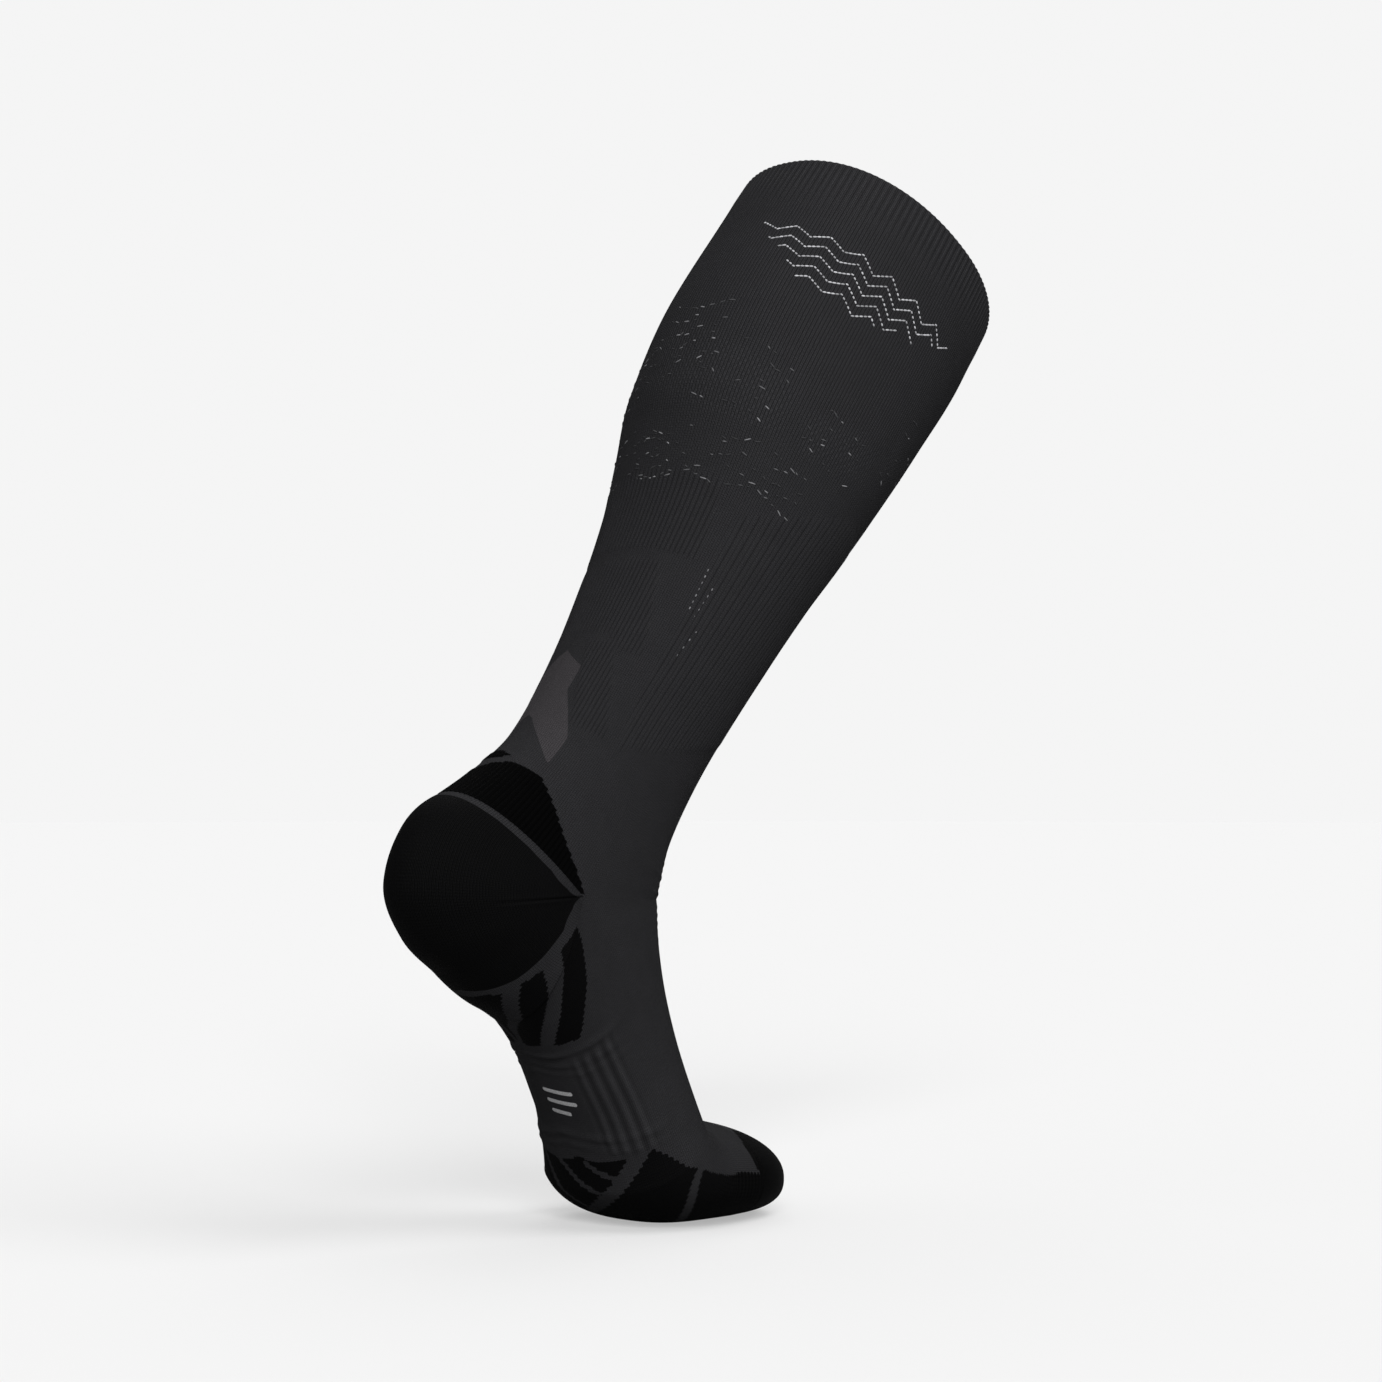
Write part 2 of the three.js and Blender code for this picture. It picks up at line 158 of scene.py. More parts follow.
def rings(section, columns, offset):
    """Closed rings of points, a row for each section, moved out by an offset: from the
    middle of the back round the near side (-Y), the front and the far side."""
    quarter = columns // 4
    offset = np.broadcast_to(offset, section["back"].shape)
    side = section["side"] + offset
    back, back_across = quarters(section["back"] + offset, side, section["back_power"], quarter)
    front, front_across = quarters(section["front"] + offset, side, section["front_power"], quarter)
    turned = lambda values: values[:, :0:-1]
    begun = lambda values: values[:, :quarter]
    none = np.zeros_like(begun(back))
    backward = np.concatenate([begun(back), none, none, turned(back)], 1)
    forward = np.concatenate([none, turned(front), begun(front), none], 1)
    across = [-begun(back_across), -turned(front_across), begun(front_across), turned(back_across)]
    points = section["point"][:, None] + backward[..., None] * section["backward"][:, None]
    points = points + forward[..., None] * section["forward"][:, None]
    points[..., 1] += np.concatenate(across, 1)
    return points


# The origin is the middle of the open cuff, and the sections count from the ankle point.
cuff = leg_sections(np.array([CUFF_TOP]))
CUFF_MIDDLE = (
    cuff["point"] + cuff["forward"] * cuff["front"] / 2 + cuff["backward"] * cuff["back"] / 2
)[0]


def seam_rows(start, end, count):
    """Even rows from seam to seam, with one more just inside each seam."""
    inset = math.copysign(SEAM_ROW, end - start)
    return np.concatenate([[start], np.linspace(start + inset, end - inset, count), [end]])


def wall_rows(outer, wall, inner_count):
    """A wall's rows, up the outside and down the inside: places, offsets and a share
    that is 1 where the outside's relief stands."""
    inner = np.linspace(outer[-1], outer[0], inner_count)
    at = np.concatenate([outer, inner])
    inside = np.arange(len(at)) >= len(outer)
    return at, np.where(inside, -wall, 0.0), np.where(inside, 0.0, 1.0)


def smooth_object(name, points, faces, finish):
    """A mesh of smooth faces with one material, in the scene."""
    mesh = bpy.data.meshes.new(name)
    mesh.from_pydata(points, [], faces)
    mesh.polygons.foreach_set("use_smooth", np.ones(len(faces), bool))
    mesh.materials.append(finish.material)
    piece = bpy.data.objects.new(name, mesh)
    bpy.context.scene.collection.objects.link(piece)
    return piece


def mark(piece, name, values):
    """Stores a value for each vertex."""
    attribute = piece.data.attributes.new(name, "FLOAT", "POINT")
    attribute.data.foreach_set("value", np.asarray(values, np.float32).ravel())


def knit_object(name, points, along, finish, marks, wales=WALES, closed=True):
    """A knitted piece from rows of points, with the last row joined to the first. Its UV
    map counts wales across and millimetres along."""
    rows, columns = points.shape[:2]
    steps = columns if closed else columns - 1
    i, j = np.indices((rows, steps)).reshape(2, -1)
    below = (i + 1) % rows
    corner_rows = np.stack([i, i, below, below], 1)
    corner_columns = np.stack([j, j + 1, j + 1, j], 1)
    place = (points.reshape(-1, 3) - CUFF_MIDDLE) * MM
    quads = corner_rows * columns + corner_columns % columns
    a, b, c, d = [place[quads[:, corner]] for corner in range(4)]
    if (a * np.cross(b, c)).sum() + (a * np.cross(c, d)).sum() < 0:  # they face inwards
        quads = quads[:, ::-1]
        corner_rows, corner_columns = corner_rows[:, ::-1], corner_columns[:, ::-1]
    piece = smooth_object(name, place, quads.tolist(), finish)
    knit_map = np.stack([corner_columns * (wales / steps), along[corner_rows]], -1)
    piece.data.uv_layers.new(name="knit").data.foreach_set("uv", knit_map.ravel())
    for mark_name, values in marks.items():
        mark(piece, mark_name, values)
    return piece


def knit_zone(name, sections, columns, rows, finish, relief, groove_shade, **marks):
    """A zone of wall rows. Its outside has relief, added along the way out, and painted shade in its
    grooves.
    """
    at, offset, share = rows
    flat = rings(sections(at), columns, offset)
    way_out = rings(sections(at), columns, offset + 1.0) - flat
    points = flat + (share[:, None] * relief)[..., None] * way_out
    return knit_object(name, points, at, finish, {"groove_shade": share[:, None] * groove_shade, **marks})


class Value:
    """A number or colour in a material's nodes. An expression on numbers adds Math nodes."""

    def __init__(self, finish, socket):
        self.finish = finish
        self.socket = socket

    def math(self, operation, *others):
        return self.finish.value("ShaderNodeMath", {"operation": operation}, self, *others)

    def __add__(self, other):
        return self.math("ADD", other)

    def __sub__(self, other):
        return self.math("SUBTRACT", other)

    def __rsub__(self, other):
        return (self * -1) + other

    def __mul__(self, other):
        return self.math("MULTIPLY", other)


class Finish:
    """A material and its nodes."""

    def __init__(self, name):
        self.material = bpy.data.materials.new(name)
        self.material.use_nodes = True
        self.tree = self.material.node_tree
        self.tree.nodes.clear()

    def node(self, kind, settings, inputs, output=0):
        """Adds a node, its settings first and then its inputs' values or links, and gives
        one of its outputs."""
        node = self.tree.nodes.new(kind)
        for setting, value in settings.items():
            setattr(node, setting, value)
        for socket, value in inputs.items():
            if isinstance(value, Value):
                self.tree.links.new(value.socket, node.inputs[socket])
            else:
                node.inputs[socket].default_value = value
        return Value(self, node.outputs[output])

    def value(self, kind, settings, *inputs, output=0):
        """Adds a node whose first inputs are given in order."""
        return self.node(kind, settings, dict(enumerate(inputs)), output)

    def marked(self, name):
        """The value stored for each vertex under a name."""
        settings = {"attribute_type": "GEOMETRY", "attribute_name": name}
        return self.value("ShaderNodeAttribute", settings, output=2)

    def mixed(self, share, first, second, **settings):
        """The first colour where the share is 0, and the second where it is 1."""
        settings = {"data_type": "RGBA", "clamp_factor": True, **settings}
        return self.node("ShaderNodeMix", settings, {"Factor": share, 6: first, 7: second}, 2)

    def shine(self, shader):
        """Makes a shader the material's surface."""
        surface = self.tree.nodes.new("ShaderNodeOutputMaterial").inputs["Surface"]
        self.tree.links.new(shader.socket, surface)


# Yarn colours are linear. Charcoal is a spun-dyed polyamide, and black the thicker
# plush-backed yarn of heel, toe and sole.
CHARCOAL = (0.027, 0.0268, 0.0288, 1)
BLACK = (0.0034, 0.0034, 0.0036, 1)
DEEP_BLACK_AND_SHADE = (0.0008, 0.0008, 0.0009, 1)  # a deeper black: on the ribbed crescents, and as painted shade at the forefoot's end and on the toe cap
PLUSH_ROUGHNESS = 0.62
KNIT_ROUGHNESS = 0.75
KNIT_SPECULAR = 0.022
COURSES_PER_MM = 1.05
STITCH_LEAN = 0.6  # of a course, by which each half of a wale leans into a V
STITCH_GAP = 0.55  # depth of the gap between two courses, to the height of a stitch
STITCH_RELIEF = 0.00016  # metres
TOOTH_PITCH = 2.1  # millimetres, of the stepped edges where two yarns swap needles
TOOTH_SIZE = 0.9
EDGE_SHARPNESS = 5  # share of a colour gained in a millimetre across its edge
TUCK_LENGTH = 1.9  # millimetres
TUCK_HEIGHT = 1.6  # to the height of a stitch
CLOUDS, CLOUD_SIZE, CLOUD_DETAIL = 0.2, 0.12, 3  # uneven dye: how strong, and its noise
FIBRES, FIBRE_SIZE, FIBRE_DETAIL = 1.9, 2.3, 2  # and the same for single fibres
FIBRES_LESS = 0.05
# How dark the painted shade on groove floors gets.
GROOVE_SHADE_DARKNESS = 0.6
GAP_PAINTED_SHADE, STITCH_PAINTED_LIGHT = 0.5, 0.8  # painted shade at the foot of a stitch, and painted light gained to its top


def knit_finish(name, areas=(), roughness=KNIT_ROUGHNESS, tucked=False):
    """Plain knitting. In each wale two legs, rounded across, lean together into a V, and
    a gap parts each course from the next. The colour is painted darker in the gaps and
    lighter on the stitches' tops, as shade and light. Areas are (mark, colour, toothed): a
    mark is a distance in millimetres, above 0 inside the area. A piece's groove mark is
    painted shade: 1 darkens the floor of a groove as if it lay in its own shade, and below 0
    it paints a highlight where a rib catches the light. Its tucks mark is the height of
    tuck stitches, whose tops are painted lighter as well."""
    finish = Finish(name)
    knit_map = finish.value("ShaderNodeUVMap", {"uv_map": "knit"})
    wale = finish.value("ShaderNodeSeparateXYZ", {}, knit_map, output=0)
    along = finish.value("ShaderNodeSeparateXYZ", {}, knit_map, output=1)
    side = (wale.math("FRACT") - 0.5).math("ABSOLUTE") * 2
    leg = (side * math.pi).math("SINE")
    course = (along * COURSES_PER_MM + side * STITCH_LEAN).math("FRACT")
    height = leg * ((course * math.pi).math("SINE") * STITCH_GAP + (1 - STITCH_GAP))
    # Two zigzag waves, one along and one across, less the mean of both.
    teeth = (
        along.math("PINGPONG", TOOTH_PITCH / 2) * (TOOTH_SIZE / TOOTH_PITCH * 2)
        + wale.math("PINGPONG", 1) * (TOOTH_SIZE / 2)
        - TOOTH_SIZE * 0.75
    )
    colour = CHARCOAL
    for mark_name, yarn, toothed in areas:
        edge = finish.marked(mark_name)
        edge = edge + teeth if toothed else edge
        colour = finish.mixed((edge * EDGE_SHARPNESS + 0.5).math("MAXIMUM", 0), colour, yarn)
    if tucked:
        tuck = (wale * math.pi).math("SINE") * (along * (math.pi / TUCK_LENGTH)).math("SINE")
        height = height + tuck.math("MAXIMUM", 0) * finish.marked("tucks") * TUCK_HEIGHT
    clouds = finish.value("ShaderNodeTexNoise", {}, knit_map, 0, CLOUD_SIZE, CLOUD_DETAIL)
    fibres = finish.value("ShaderNodeTexNoise", {}, knit_map, 0, FIBRE_SIZE, FIBRE_DETAIL)
    uneven = clouds * CLOUDS + fibres * FIBRES - FIBRES_LESS
    # Painted shade on groove floors and in the gaps between courses, and painted light on the stitches'
    # tops, darken and lighten the yarn's colour.
    groove_shade = finish.marked("groove_shade") * GROOVE_SHADE_DARKNESS
    shade = (height * STITCH_PAINTED_LIGHT + GAP_PAINTED_SHADE) * uneven * (1 - groove_shade)
    shade = finish.value("ShaderNodeCombineXYZ", {}, shade, shade, shade)
    bump = {"Strength": 1.0, "Distance": STITCH_RELIEF, "Height": height}
    cloth = {
        "Base Color": finish.mixed(1.0, colour, shade, blend_type="MULTIPLY"),
        "Roughness": roughness,
        "Specular IOR Level": KNIT_SPECULAR,
        "Normal": finish.node("ShaderNodeBump", {}, bump),
    }
    finish.shine(finish.node("ShaderNodeBsdfPrincipled", {}, cloth))
    return finish


def ribs(wale, pitch, height):
    """Round ribs: a raised cosine, one to each pitch of wales."""
    return height * (0.5 - 0.5 * np.cos(2 * math.pi * wale / pitch))


def groove_shading(wale, pitch, darkness):
    """Painted shade in the grooves between round ribs: how dark it is, most along the middle of each.
    """
    return darkness - ribs(wale, pitch, darkness)


def place_on_body(piece, node):
    """The calls that every knitted zone shares."""
    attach(piece, "root")
    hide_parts(node)


def wales_round(columns):
    """Which wale each column lies on."""
    return np.arange(columns) * WALES / columns


edge_radius = WELT_WALL / 2
edge_turn = np.linspace(0, math.pi, WELT_EDGE_ROWS + 2)[1:-1]
welt_top = CUFF_TOP - edge_radius
welt_outer = np.linspace(WELT_FOOT + SEAM_ROW, welt_top, WELT_ROWS)
welt_inner = np.linspace(welt_top, WELT_FOOT, WELT_INNER_ROWS)
welt_edge = welt_top + edge_radius * np.sin(edge_turn)
welt_at = np.concatenate([[WELT_FOOT], welt_outer, welt_edge, welt_inner])
edge_offset = edge_radius * (np.cos(edge_turn) - 1)
welt_offset = [np.zeros(WELT_ROWS + 1), edge_offset, np.full(WELT_INNER_ROWS, -WELT_WALL)]
welt_offset = np.concatenate(welt_offset)
fine_wale = wales_round(FINE_COLUMNS)
# The ribs fade into the calf's finer ones at the foot of the welt, and into its edge.
welt_fade = [WELT_FOOT, WELT_FOOT + WELT_FADE, welt_top, CUFF_TOP]
welt_share = np.interp(welt_at, welt_fade, [0, 1, 1, WELT_EDGE_SHARE])
welt_share = np.where(welt_offset <= -edge_radius, 0, welt_share)[:, None]
welt_fine = ((welt_offset == 0) & (welt_at < welt_top))[:, None] * (1 - welt_share)
welt = knit_zone(
    "welt_ribbing",
    leg_sections,
    FINE_COLUMNS,
    (welt_at, welt_offset, np.ones(len(welt_at))),
    knit_finish("welt_charcoal"),
    welt_share * ribs(fine_wale, WELT_RIB_WALES, WELT_RIB_HEIGHT)
    + welt_fine * ribs(fine_wale, 1, FINE_RIB_HEIGHT),
    welt_share * groove_shading(fine_wale, WELT_RIB_WALES, WELT_GROOVE_SHADE)
    + welt_fine * groove_shading(fine_wale, 1, FINE_GROOVE_SHADE),
)
place_on_body(welt, "cuff_welt")

# The calf: a fine one-and-one rib, each rib a single wale, with fields of tuck stitches
# that show as a pebbled tone. Charcoal elastic knit, run on from the welt.
CALF_FOOT = 196
CALF_WALL = 1.6
CALF_ROWS, CALF_INNER_ROWS = 52, 9
PLAIN_FROM = 230  # the ribs fade out below this towards the plain knit of the lower leg
PLAIN_SHARE = 0.4  # of their height that is left there
TUCKS = 0.2
TUCK_BORDER = 6  # millimetres or degrees
# Fields of tuck stitches: (from, to) round the leg, and (low, high) where they begin,
# climbing with the angle by so many millimetres a degree.
TUCK_FIELDS = (
    (-14, 56, 204, 240, -0.3),
    (-12, 74, 164, 190, 0.05),
    (60, 104, 192, 216, 0.25),
    (104, 146, 212, 240, 0.2),
)


def tucks(at, angle):
    """How deep inside the nearest field of tucks a place is, from 0 to 1 over a soft
    border. The far side has the same fields, mirrored."""
    turned = np.where(angle > 180, 360 - angle, angle)
    turned = np.where(angle > 340, angle - 360, turned)  # where a field crosses the middle
    depth = np.zeros(np.broadcast(angle, at).shape)
    for begin, end, low, high, climb in TUCK_FIELDS:
        lift = climb * (turned - begin)
        sides = [turned - begin, end - turned, at - low - lift, high + lift - at]
        depth = np.maximum(depth, np.minimum.reduce(np.broadcast_arrays(*sides)) / TUCK_BORDER)
    return depth.clip(0, 1)


calf_rows = wall_rows(seam_rows(CALF_FOOT, WELT_FOOT, CALF_ROWS), CALF_WALL, CALF_INNER_ROWS)
calf_at = calf_rows[0][:, None]
calf_fade = np.interp(calf_at, [CALF_FOOT, PLAIN_FROM], [PLAIN_SHARE, 1])
calf = knit_zone(
    "calf_rib",
    leg_sections,
    FINE_COLUMNS,
    calf_rows,
    knit_finish("calf_charcoal", tucked=True),
    calf_fade * ribs(fine_wale, 1, FINE_RIB_HEIGHT),
    groove_shading(fine_wale, 1, FINE_GROOVE_SHADE),
    tucks=TUCKS * tucks(calf_at, fine_wale * 360 / WALES),
)

# Light stitches on the calf. On the near side, rows of light grey yarn make a chevron
# band below the welt. Tonal floats of a slightly lighter yarn lie in loose waves lower
# down on both sides. Each float is a short bead of yarn that stands on the knit.
CHEVRON_ROWS = 5
CHEVRON_TOP = 288.8
CHEVRON_ROW_DROP = 5.6
CHEVRON_PERIOD = 14  # degrees
CHEVRON_FROM, CHEVRON_FROM_STEP = 10, 6
CHEVRON_TO, CHEVRON_TO_STEP = 107, 9.5
CHEVRON_DEPTH = ((10, 45, 60, 110), (3.2, 3.8, 6, 6.4))  # degrees, and the depth there
CHEVRON_STITCH = 1.5  # degrees from one stitch to the next
CHEVRON_WIDTH = 0.85
CHEVRON_FALLING = 1.4  # a float's length where its row falls, and where it rises
CHEVRON_RISING = ((60, 100), (1.9, 2.6))
CHEVRON_SHADES = (0.45, 1)  # from the dim yarn to the bright one
FLOAT_HEIGHT = 0.3
BEAD_SIDES = 8
DEGREE_MM = 1.05  # millimetres to a degree round the calf
YARN_DIM = (0.03, 0.03, 0.032, 1)
YARN_BRIGHT = (0.5, 0.5, 0.52, 1)


def chevron(angle):
    """How far the chevron has dropped: a triangle wave whose depth grows to the front."""
    share = ((angle - CHEVRON_FROM) / CHEVRON_PERIOD) % 1
    return np.interp(angle, *CHEVRON_DEPTH) * (1 - np.abs(1 - 2 * share))


def chevron_floats():
    """Floats of the chevron rows: angle, height up the leg, slant, length and shade."""
    floats = []
    for row in range(CHEVRON_ROWS):
        begin = CHEVRON_FROM + CHEVRON_FROM_STEP * row
        angle = np.arange(begin, CHEVRON_TO - CHEVRON_TO_STEP * row, CHEVRON_STITCH)
        step = 0.1
        fall = chevron(angle + step) - chevron(angle - step)
        slant = np.arctan2(-fall, 2 * step * DEGREE_MM)
        rising = np.interp(angle, *CHEVRON_RISING)
        length = np.where(fall > 0, CHEVRON_FALLING, rising)
        height = CHEVRON_TOP - CHEVRON_ROW_DROP * row - chevron(angle)
        shade = draw.uniform(*CHEVRON_SHADES, len(angle))
        floats.append(np.stack([angle, height, slant, length, shade]))
    return np.concatenate(floats, 1)


# Fields of tonal floats: where they begin and end round the leg, their low and high
# edges, the climb in millimetres a degree, and the drop from wave to wave.
FLOAT_FIELDS = (
    (-16, 4, 212, 246, -0.1, 6.5),
    (14, 52, 203, 232, -0.15, 5.5),
    (-10, 74, 170, 190, 0.03, 4.4),
    (64, 92, 198, 222, 0.1, 5),
    (110, 118, 218, 254, 0, 6.4),
    (128, 146, 222, 250, 0.1, 7),
)
FLOAT_SPACING = 4.4  # degrees
FLOAT_SHARE = 0.5  # of the places along a wave that have a float
FLOAT_STRAY = 1.4  # degrees that a float may lie from its place
FLOAT_WIDTH = 0.6
FLOAT_LENGTHS = (1.3, 3.4)
FLOAT_TURNS = (-0.5, 0.4)  # radians from its wave's slope
FLOAT_BRIGHTEST = 0.42
WAVE_HEIGHT = 1.6
WAVE_TURN = 0.16  # radians of a wave to a millimetre round
WAVE_SLOPE = 0.26
# And short lines of brighter dots run down the side of the leg: (degrees, height) of the
# first and last dot, and how many there are.
DOT_LENGTH = 1.3
DOT_SHADES = (0.1, 0.35)
DOT_LINES = (((53, 136), (54.5, 119), 7), ((60, 130), (59, 117), 5), ((64.5, 112), (62, 100), 4))


def tonal_floats(side):
    """Floats of the loose waves, on one side (1 near, -1 far): as chevron_floats."""
    floats = []
    for begin, end, low, high, climb, drop in FLOAT_FIELDS:
        for row in np.arange(low, high, drop):
            angle = np.arange(begin, end, FLOAT_SPACING)
            angle = angle + draw.uniform(-FLOAT_STRAY, FLOAT_STRAY, len(angle))
            angle = angle[draw.random(len(angle)) < FLOAT_SHARE]
            wave = WAVE_TURN * DEGREE_MM * angle + draw.uniform(0, 2 * math.pi)
            height = row + climb * (angle - begin) + WAVE_HEIGHT * np.sin(wave)
            slant = np.arctan(WAVE_SLOPE * np.cos(wave) + climb)
            slant = slant + draw.uniform(*FLOAT_TURNS, len(angle))
            shade = FLOAT_BRIGHTEST * draw.random(len(angle)) ** 3  # most are dim
            length = draw.uniform(*FLOAT_LENGTHS, len(angle))
            floats.append(np.stack([side * angle, height, side * slant, length, shade]))
    for (angle_from, height_from), (angle_to, height_to), count in DOT_LINES:
        angle = side * np.linspace(angle_from, angle_to, count)
        height = np.linspace(height_from, height_to, count)
        upright = np.full(count, math.pi / 2)
        length = np.full(count, DOT_LENGTH)
        floats.append(np.stack([angle, height, upright, length, draw.uniform(*DOT_SHADES, count)]))
    return np.concatenate(floats, 1)


def on_the_leg(angle, at, offset):
    """Points on the leg's surface, each between two columns of its own ring."""
    loops = rings(leg_sections(at), FINE_COLUMNS, offset)
    column = angle % 360 / 360 * FINE_COLUMNS
    low = np.floor(column).astype(int)
    share = (column - low)[:, None]
    row = np.arange(len(at))
    near, far = loops[row, low % FINE_COLUMNS], loops[row, (low + 1) % FINE_COLUMNS]
    return near * (1 - share) + far * share


def unit(vectors):
    return vectors / np.linalg.norm(vectors, axis=-1, keepdims=True)


def yarn_beads(name, floats, width, finish):
    """One mesh of beads: each an ellipsoid as long as its float, lying along its slant."""
    angle, at, slant, length, shade = floats
    middle = on_the_leg(angle, at, FINE_RIB_HEIGHT / 2)
    across = unit(on_the_leg(angle + 0.5, at, 0.0) - on_the_leg(angle - 0.5, at, 0.0))
    up = unit(on_the_leg(angle, at + 0.5, 0.0) - on_the_leg(angle, at - 0.5, 0.0))
    way = unit(np.cos(slant)[:, None] * across + np.sin(slant)[:, None] * up)
    out = unit(on_the_leg(angle, at, 1.0) - on_the_leg(angle, at, 0.0))
    beside = unit(np.cross(out, way))
    tilt = np.radians([[-45], [0], [45]])
    turn = np.arange(BEAD_SIDES) * (2 * math.pi / BEAD_SIDES)
    ball = [np.sin(tilt), np.cos(tilt) * np.cos(turn), np.cos(tilt) * np.sin(turn)]
    ball = np.stack(np.broadcast_arrays(*ball), -1).reshape(-1, 3)
    ball = np.concatenate([[[-1, 0, 0]], ball, [[1, 0, 0]]])
    axes = np.stack([way * length[:, None] / 2, beside * width / 2, out * FLOAT_HEIGHT], 1)
    place = (middle[:, None] + np.einsum("vk,nkc->nvc", ball, axes) - CUFF_MIDDLE) * MM
    around = 1 + np.arange(BEAD_SIDES)
    after = np.roll(around, -1)
    tip = 0 * around + len(ball) - 1
    faces = np.stack([0 * around, after, around], 1).tolist()
    faces += np.stack([tip, 2 * BEAD_SIDES + around, 2 * BEAD_SIDES + after], 1).tolist()
    for ring in (0, BEAD_SIDES):
        corners = [around, after, after + BEAD_SIDES, around + BEAD_SIDES]
        faces += (ring + np.stack(corners, 1)).tolist()
    starts = np.arange(len(at)) * len(ball)
    faces = [[start + corner for corner in face] for start in starts for face in faces]
    piece = smooth_object(name, place.reshape(-1, 3), faces, finish)
    mark(piece, "shade", np.repeat(shade, len(ball)))
    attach(piece, "root")
    return piece


draw = np.random.default_rng(7)
yarn = Finish("light_grey_yarn")
yarn_colour = yarn.mixed(yarn.marked("shade"), YARN_DIM, YARN_BRIGHT)
yarn_cloth = {"Base Color": yarn_colour, "Roughness": 0.7, "Specular IOR Level": 0.1}
yarn.shine(yarn.node("ShaderNodeBsdfPrincipled", {}, yarn_cloth))
chevron_band = yarn_beads("chevron_band", chevron_floats(), CHEVRON_WIDTH, yarn)
waves = np.concatenate([tonal_floats(1), tonal_floats(-1)], 1)
waves = yarn_beads("tonal_floats", waves, FLOAT_WIDTH, yarn)
place_on_body(calf, "calf")

# The lower leg: plain knit with ribbed panels at the back and round the front. The same
# elastic knit, run on from the calf. The panels leave some needles out, so that the wales
# between them stand up as ribs.
ANKLE_TOP = 95
LEG_WALL = 1.6
LEG_ROWS, LEG_INNER_ROWS = 64, 7
LEG_COLUMNS = 3 * WALES
LEG_WALE_HEIGHT = 0.1
# How dark the painted shade in the panels' grooves is.
PANEL_GROOVE_SHADE = 0.5
BACK_RIB_WALES = 2
BACK_RIB_HEIGHT = 0.35
FRONT_RIB_WALES = 4
FRONT_RIB_HEIGHT = 0.32
FRONT_GROOVE = 0.5  # half a groove's width, in wales
SHALLOW_GROOVE = 0.6  # depth of every other groove, to its neighbours'
# The front panel begins here, in degrees from the middle of the back, and draws in by
# some degrees below a height. Its lower and upper edges climb in millimetres a degree.
FRONT_FROM = 53
FRONT_DRAWN_IN, DRAWN_IN_BELOW, DRAWN_IN_OVER = 8, 110, 60
FRONT_LOW, FRONT_LOW_CLIMB = 50.4, 0.46
FRONT_HIGH, FRONT_HIGH_CLIMB, FRONT_HIGHEST = 159, 0.62, 193
FRONT_SOFTNESS = 3
# The knitted design is centred a little to the far side of the back's middle.
DESIGN_TURN = 9
MM_ROUND = 0.62  # millimetres to a degree round the leg and foot, on average
# Outlines are (degrees from the design's centre, millimetres along). Only the near half
# is listed, and the far half is its mirror image.
BACK_PANELS = (
    [(0, 137), (0, 172), (44, 172), (50, 138)],
    [(0, 97), (0, 131), (33, 133), (49, 92), (36, 90), (26, 97)],
    [(14, 92), (31, 94), (55, 52), (32, 50), (25, 68)],
)


def signed(angle):
    """Degrees from the middle of the back, above 0 on the near side."""
    return np.where(angle > 180, angle - 360, angle)


def from_centre(angle):
    """Degrees from the design's centre. The shift fades out towards the heel's corners."""
    turned = signed(angle)
    return np.abs(turned + DESIGN_TURN * (1 - np.abs(turned) / 90).clip(0))


def to_segments(x, y, path):
    """For each piece of a path: the distance from each place, and how far along it lies."""
    for (x0, y0), (x1, y1) in zip(path[:-1], path[1:]):
        share = ((x - x0) * (x1 - x0) + (y - y0) * (y1 - y0)) / ((x1 - x0) ** 2 + (y1 - y0) ** 2)
        share = share.clip(0, 1)
        yield np.hypot(x - x0 - share * (x1 - x0), y - y0 - share * (y1 - y0)), share


def depth_inside(around, along, outline):
    """Distance in millimetres from places to an outline: above 0 inside and below 0
    outside. Inside is where a line to the right crosses an odd number of its sides."""
    x, y = np.broadcast_arrays(np.asarray(around, float) * MM_ROUND, along)
    corners = np.array([*outline, outline[0]], float) * (MM_ROUND, 1)
    inside = np.zeros(x.shape, bool)
    nearest = np.full(x.shape, np.inf)
    for (x0, y0), (x1, y1) in zip(corners[:-1], corners[1:]):
        if y0 != y1:
            crossing = x0 + (y - y0) * (x1 - x0) / (y1 - y0)
            inside ^= ((y0 > y) != (y1 > y)) & (x < crossing)
        if x0 != 0 or x1 != 0:  # on the design's centre the mirror image carries on
            away, _ = next(to_segments(x, y, [(x0, y0), (x1, y1)]))
            nearest = np.minimum(nearest, away)
    return np.where(inside, nearest, -nearest)


def deepest(angle, along, outlines):
    """Depth inside the nearest outline of some that are placed from the design's centre."""
    around = from_centre(angle)
    return np.maximum.reduce([depth_inside(around, along, outline) for outline in outlines])


def spread(depth, softness=1.2):
    """A share that rises from 0 to 1 across an outline."""
    return (depth / softness + 0.5).clip(0, 1)


leg_wale = wales_round(LEG_COLUMNS)
leg_angle = leg_wale[None] * 360 / WALES


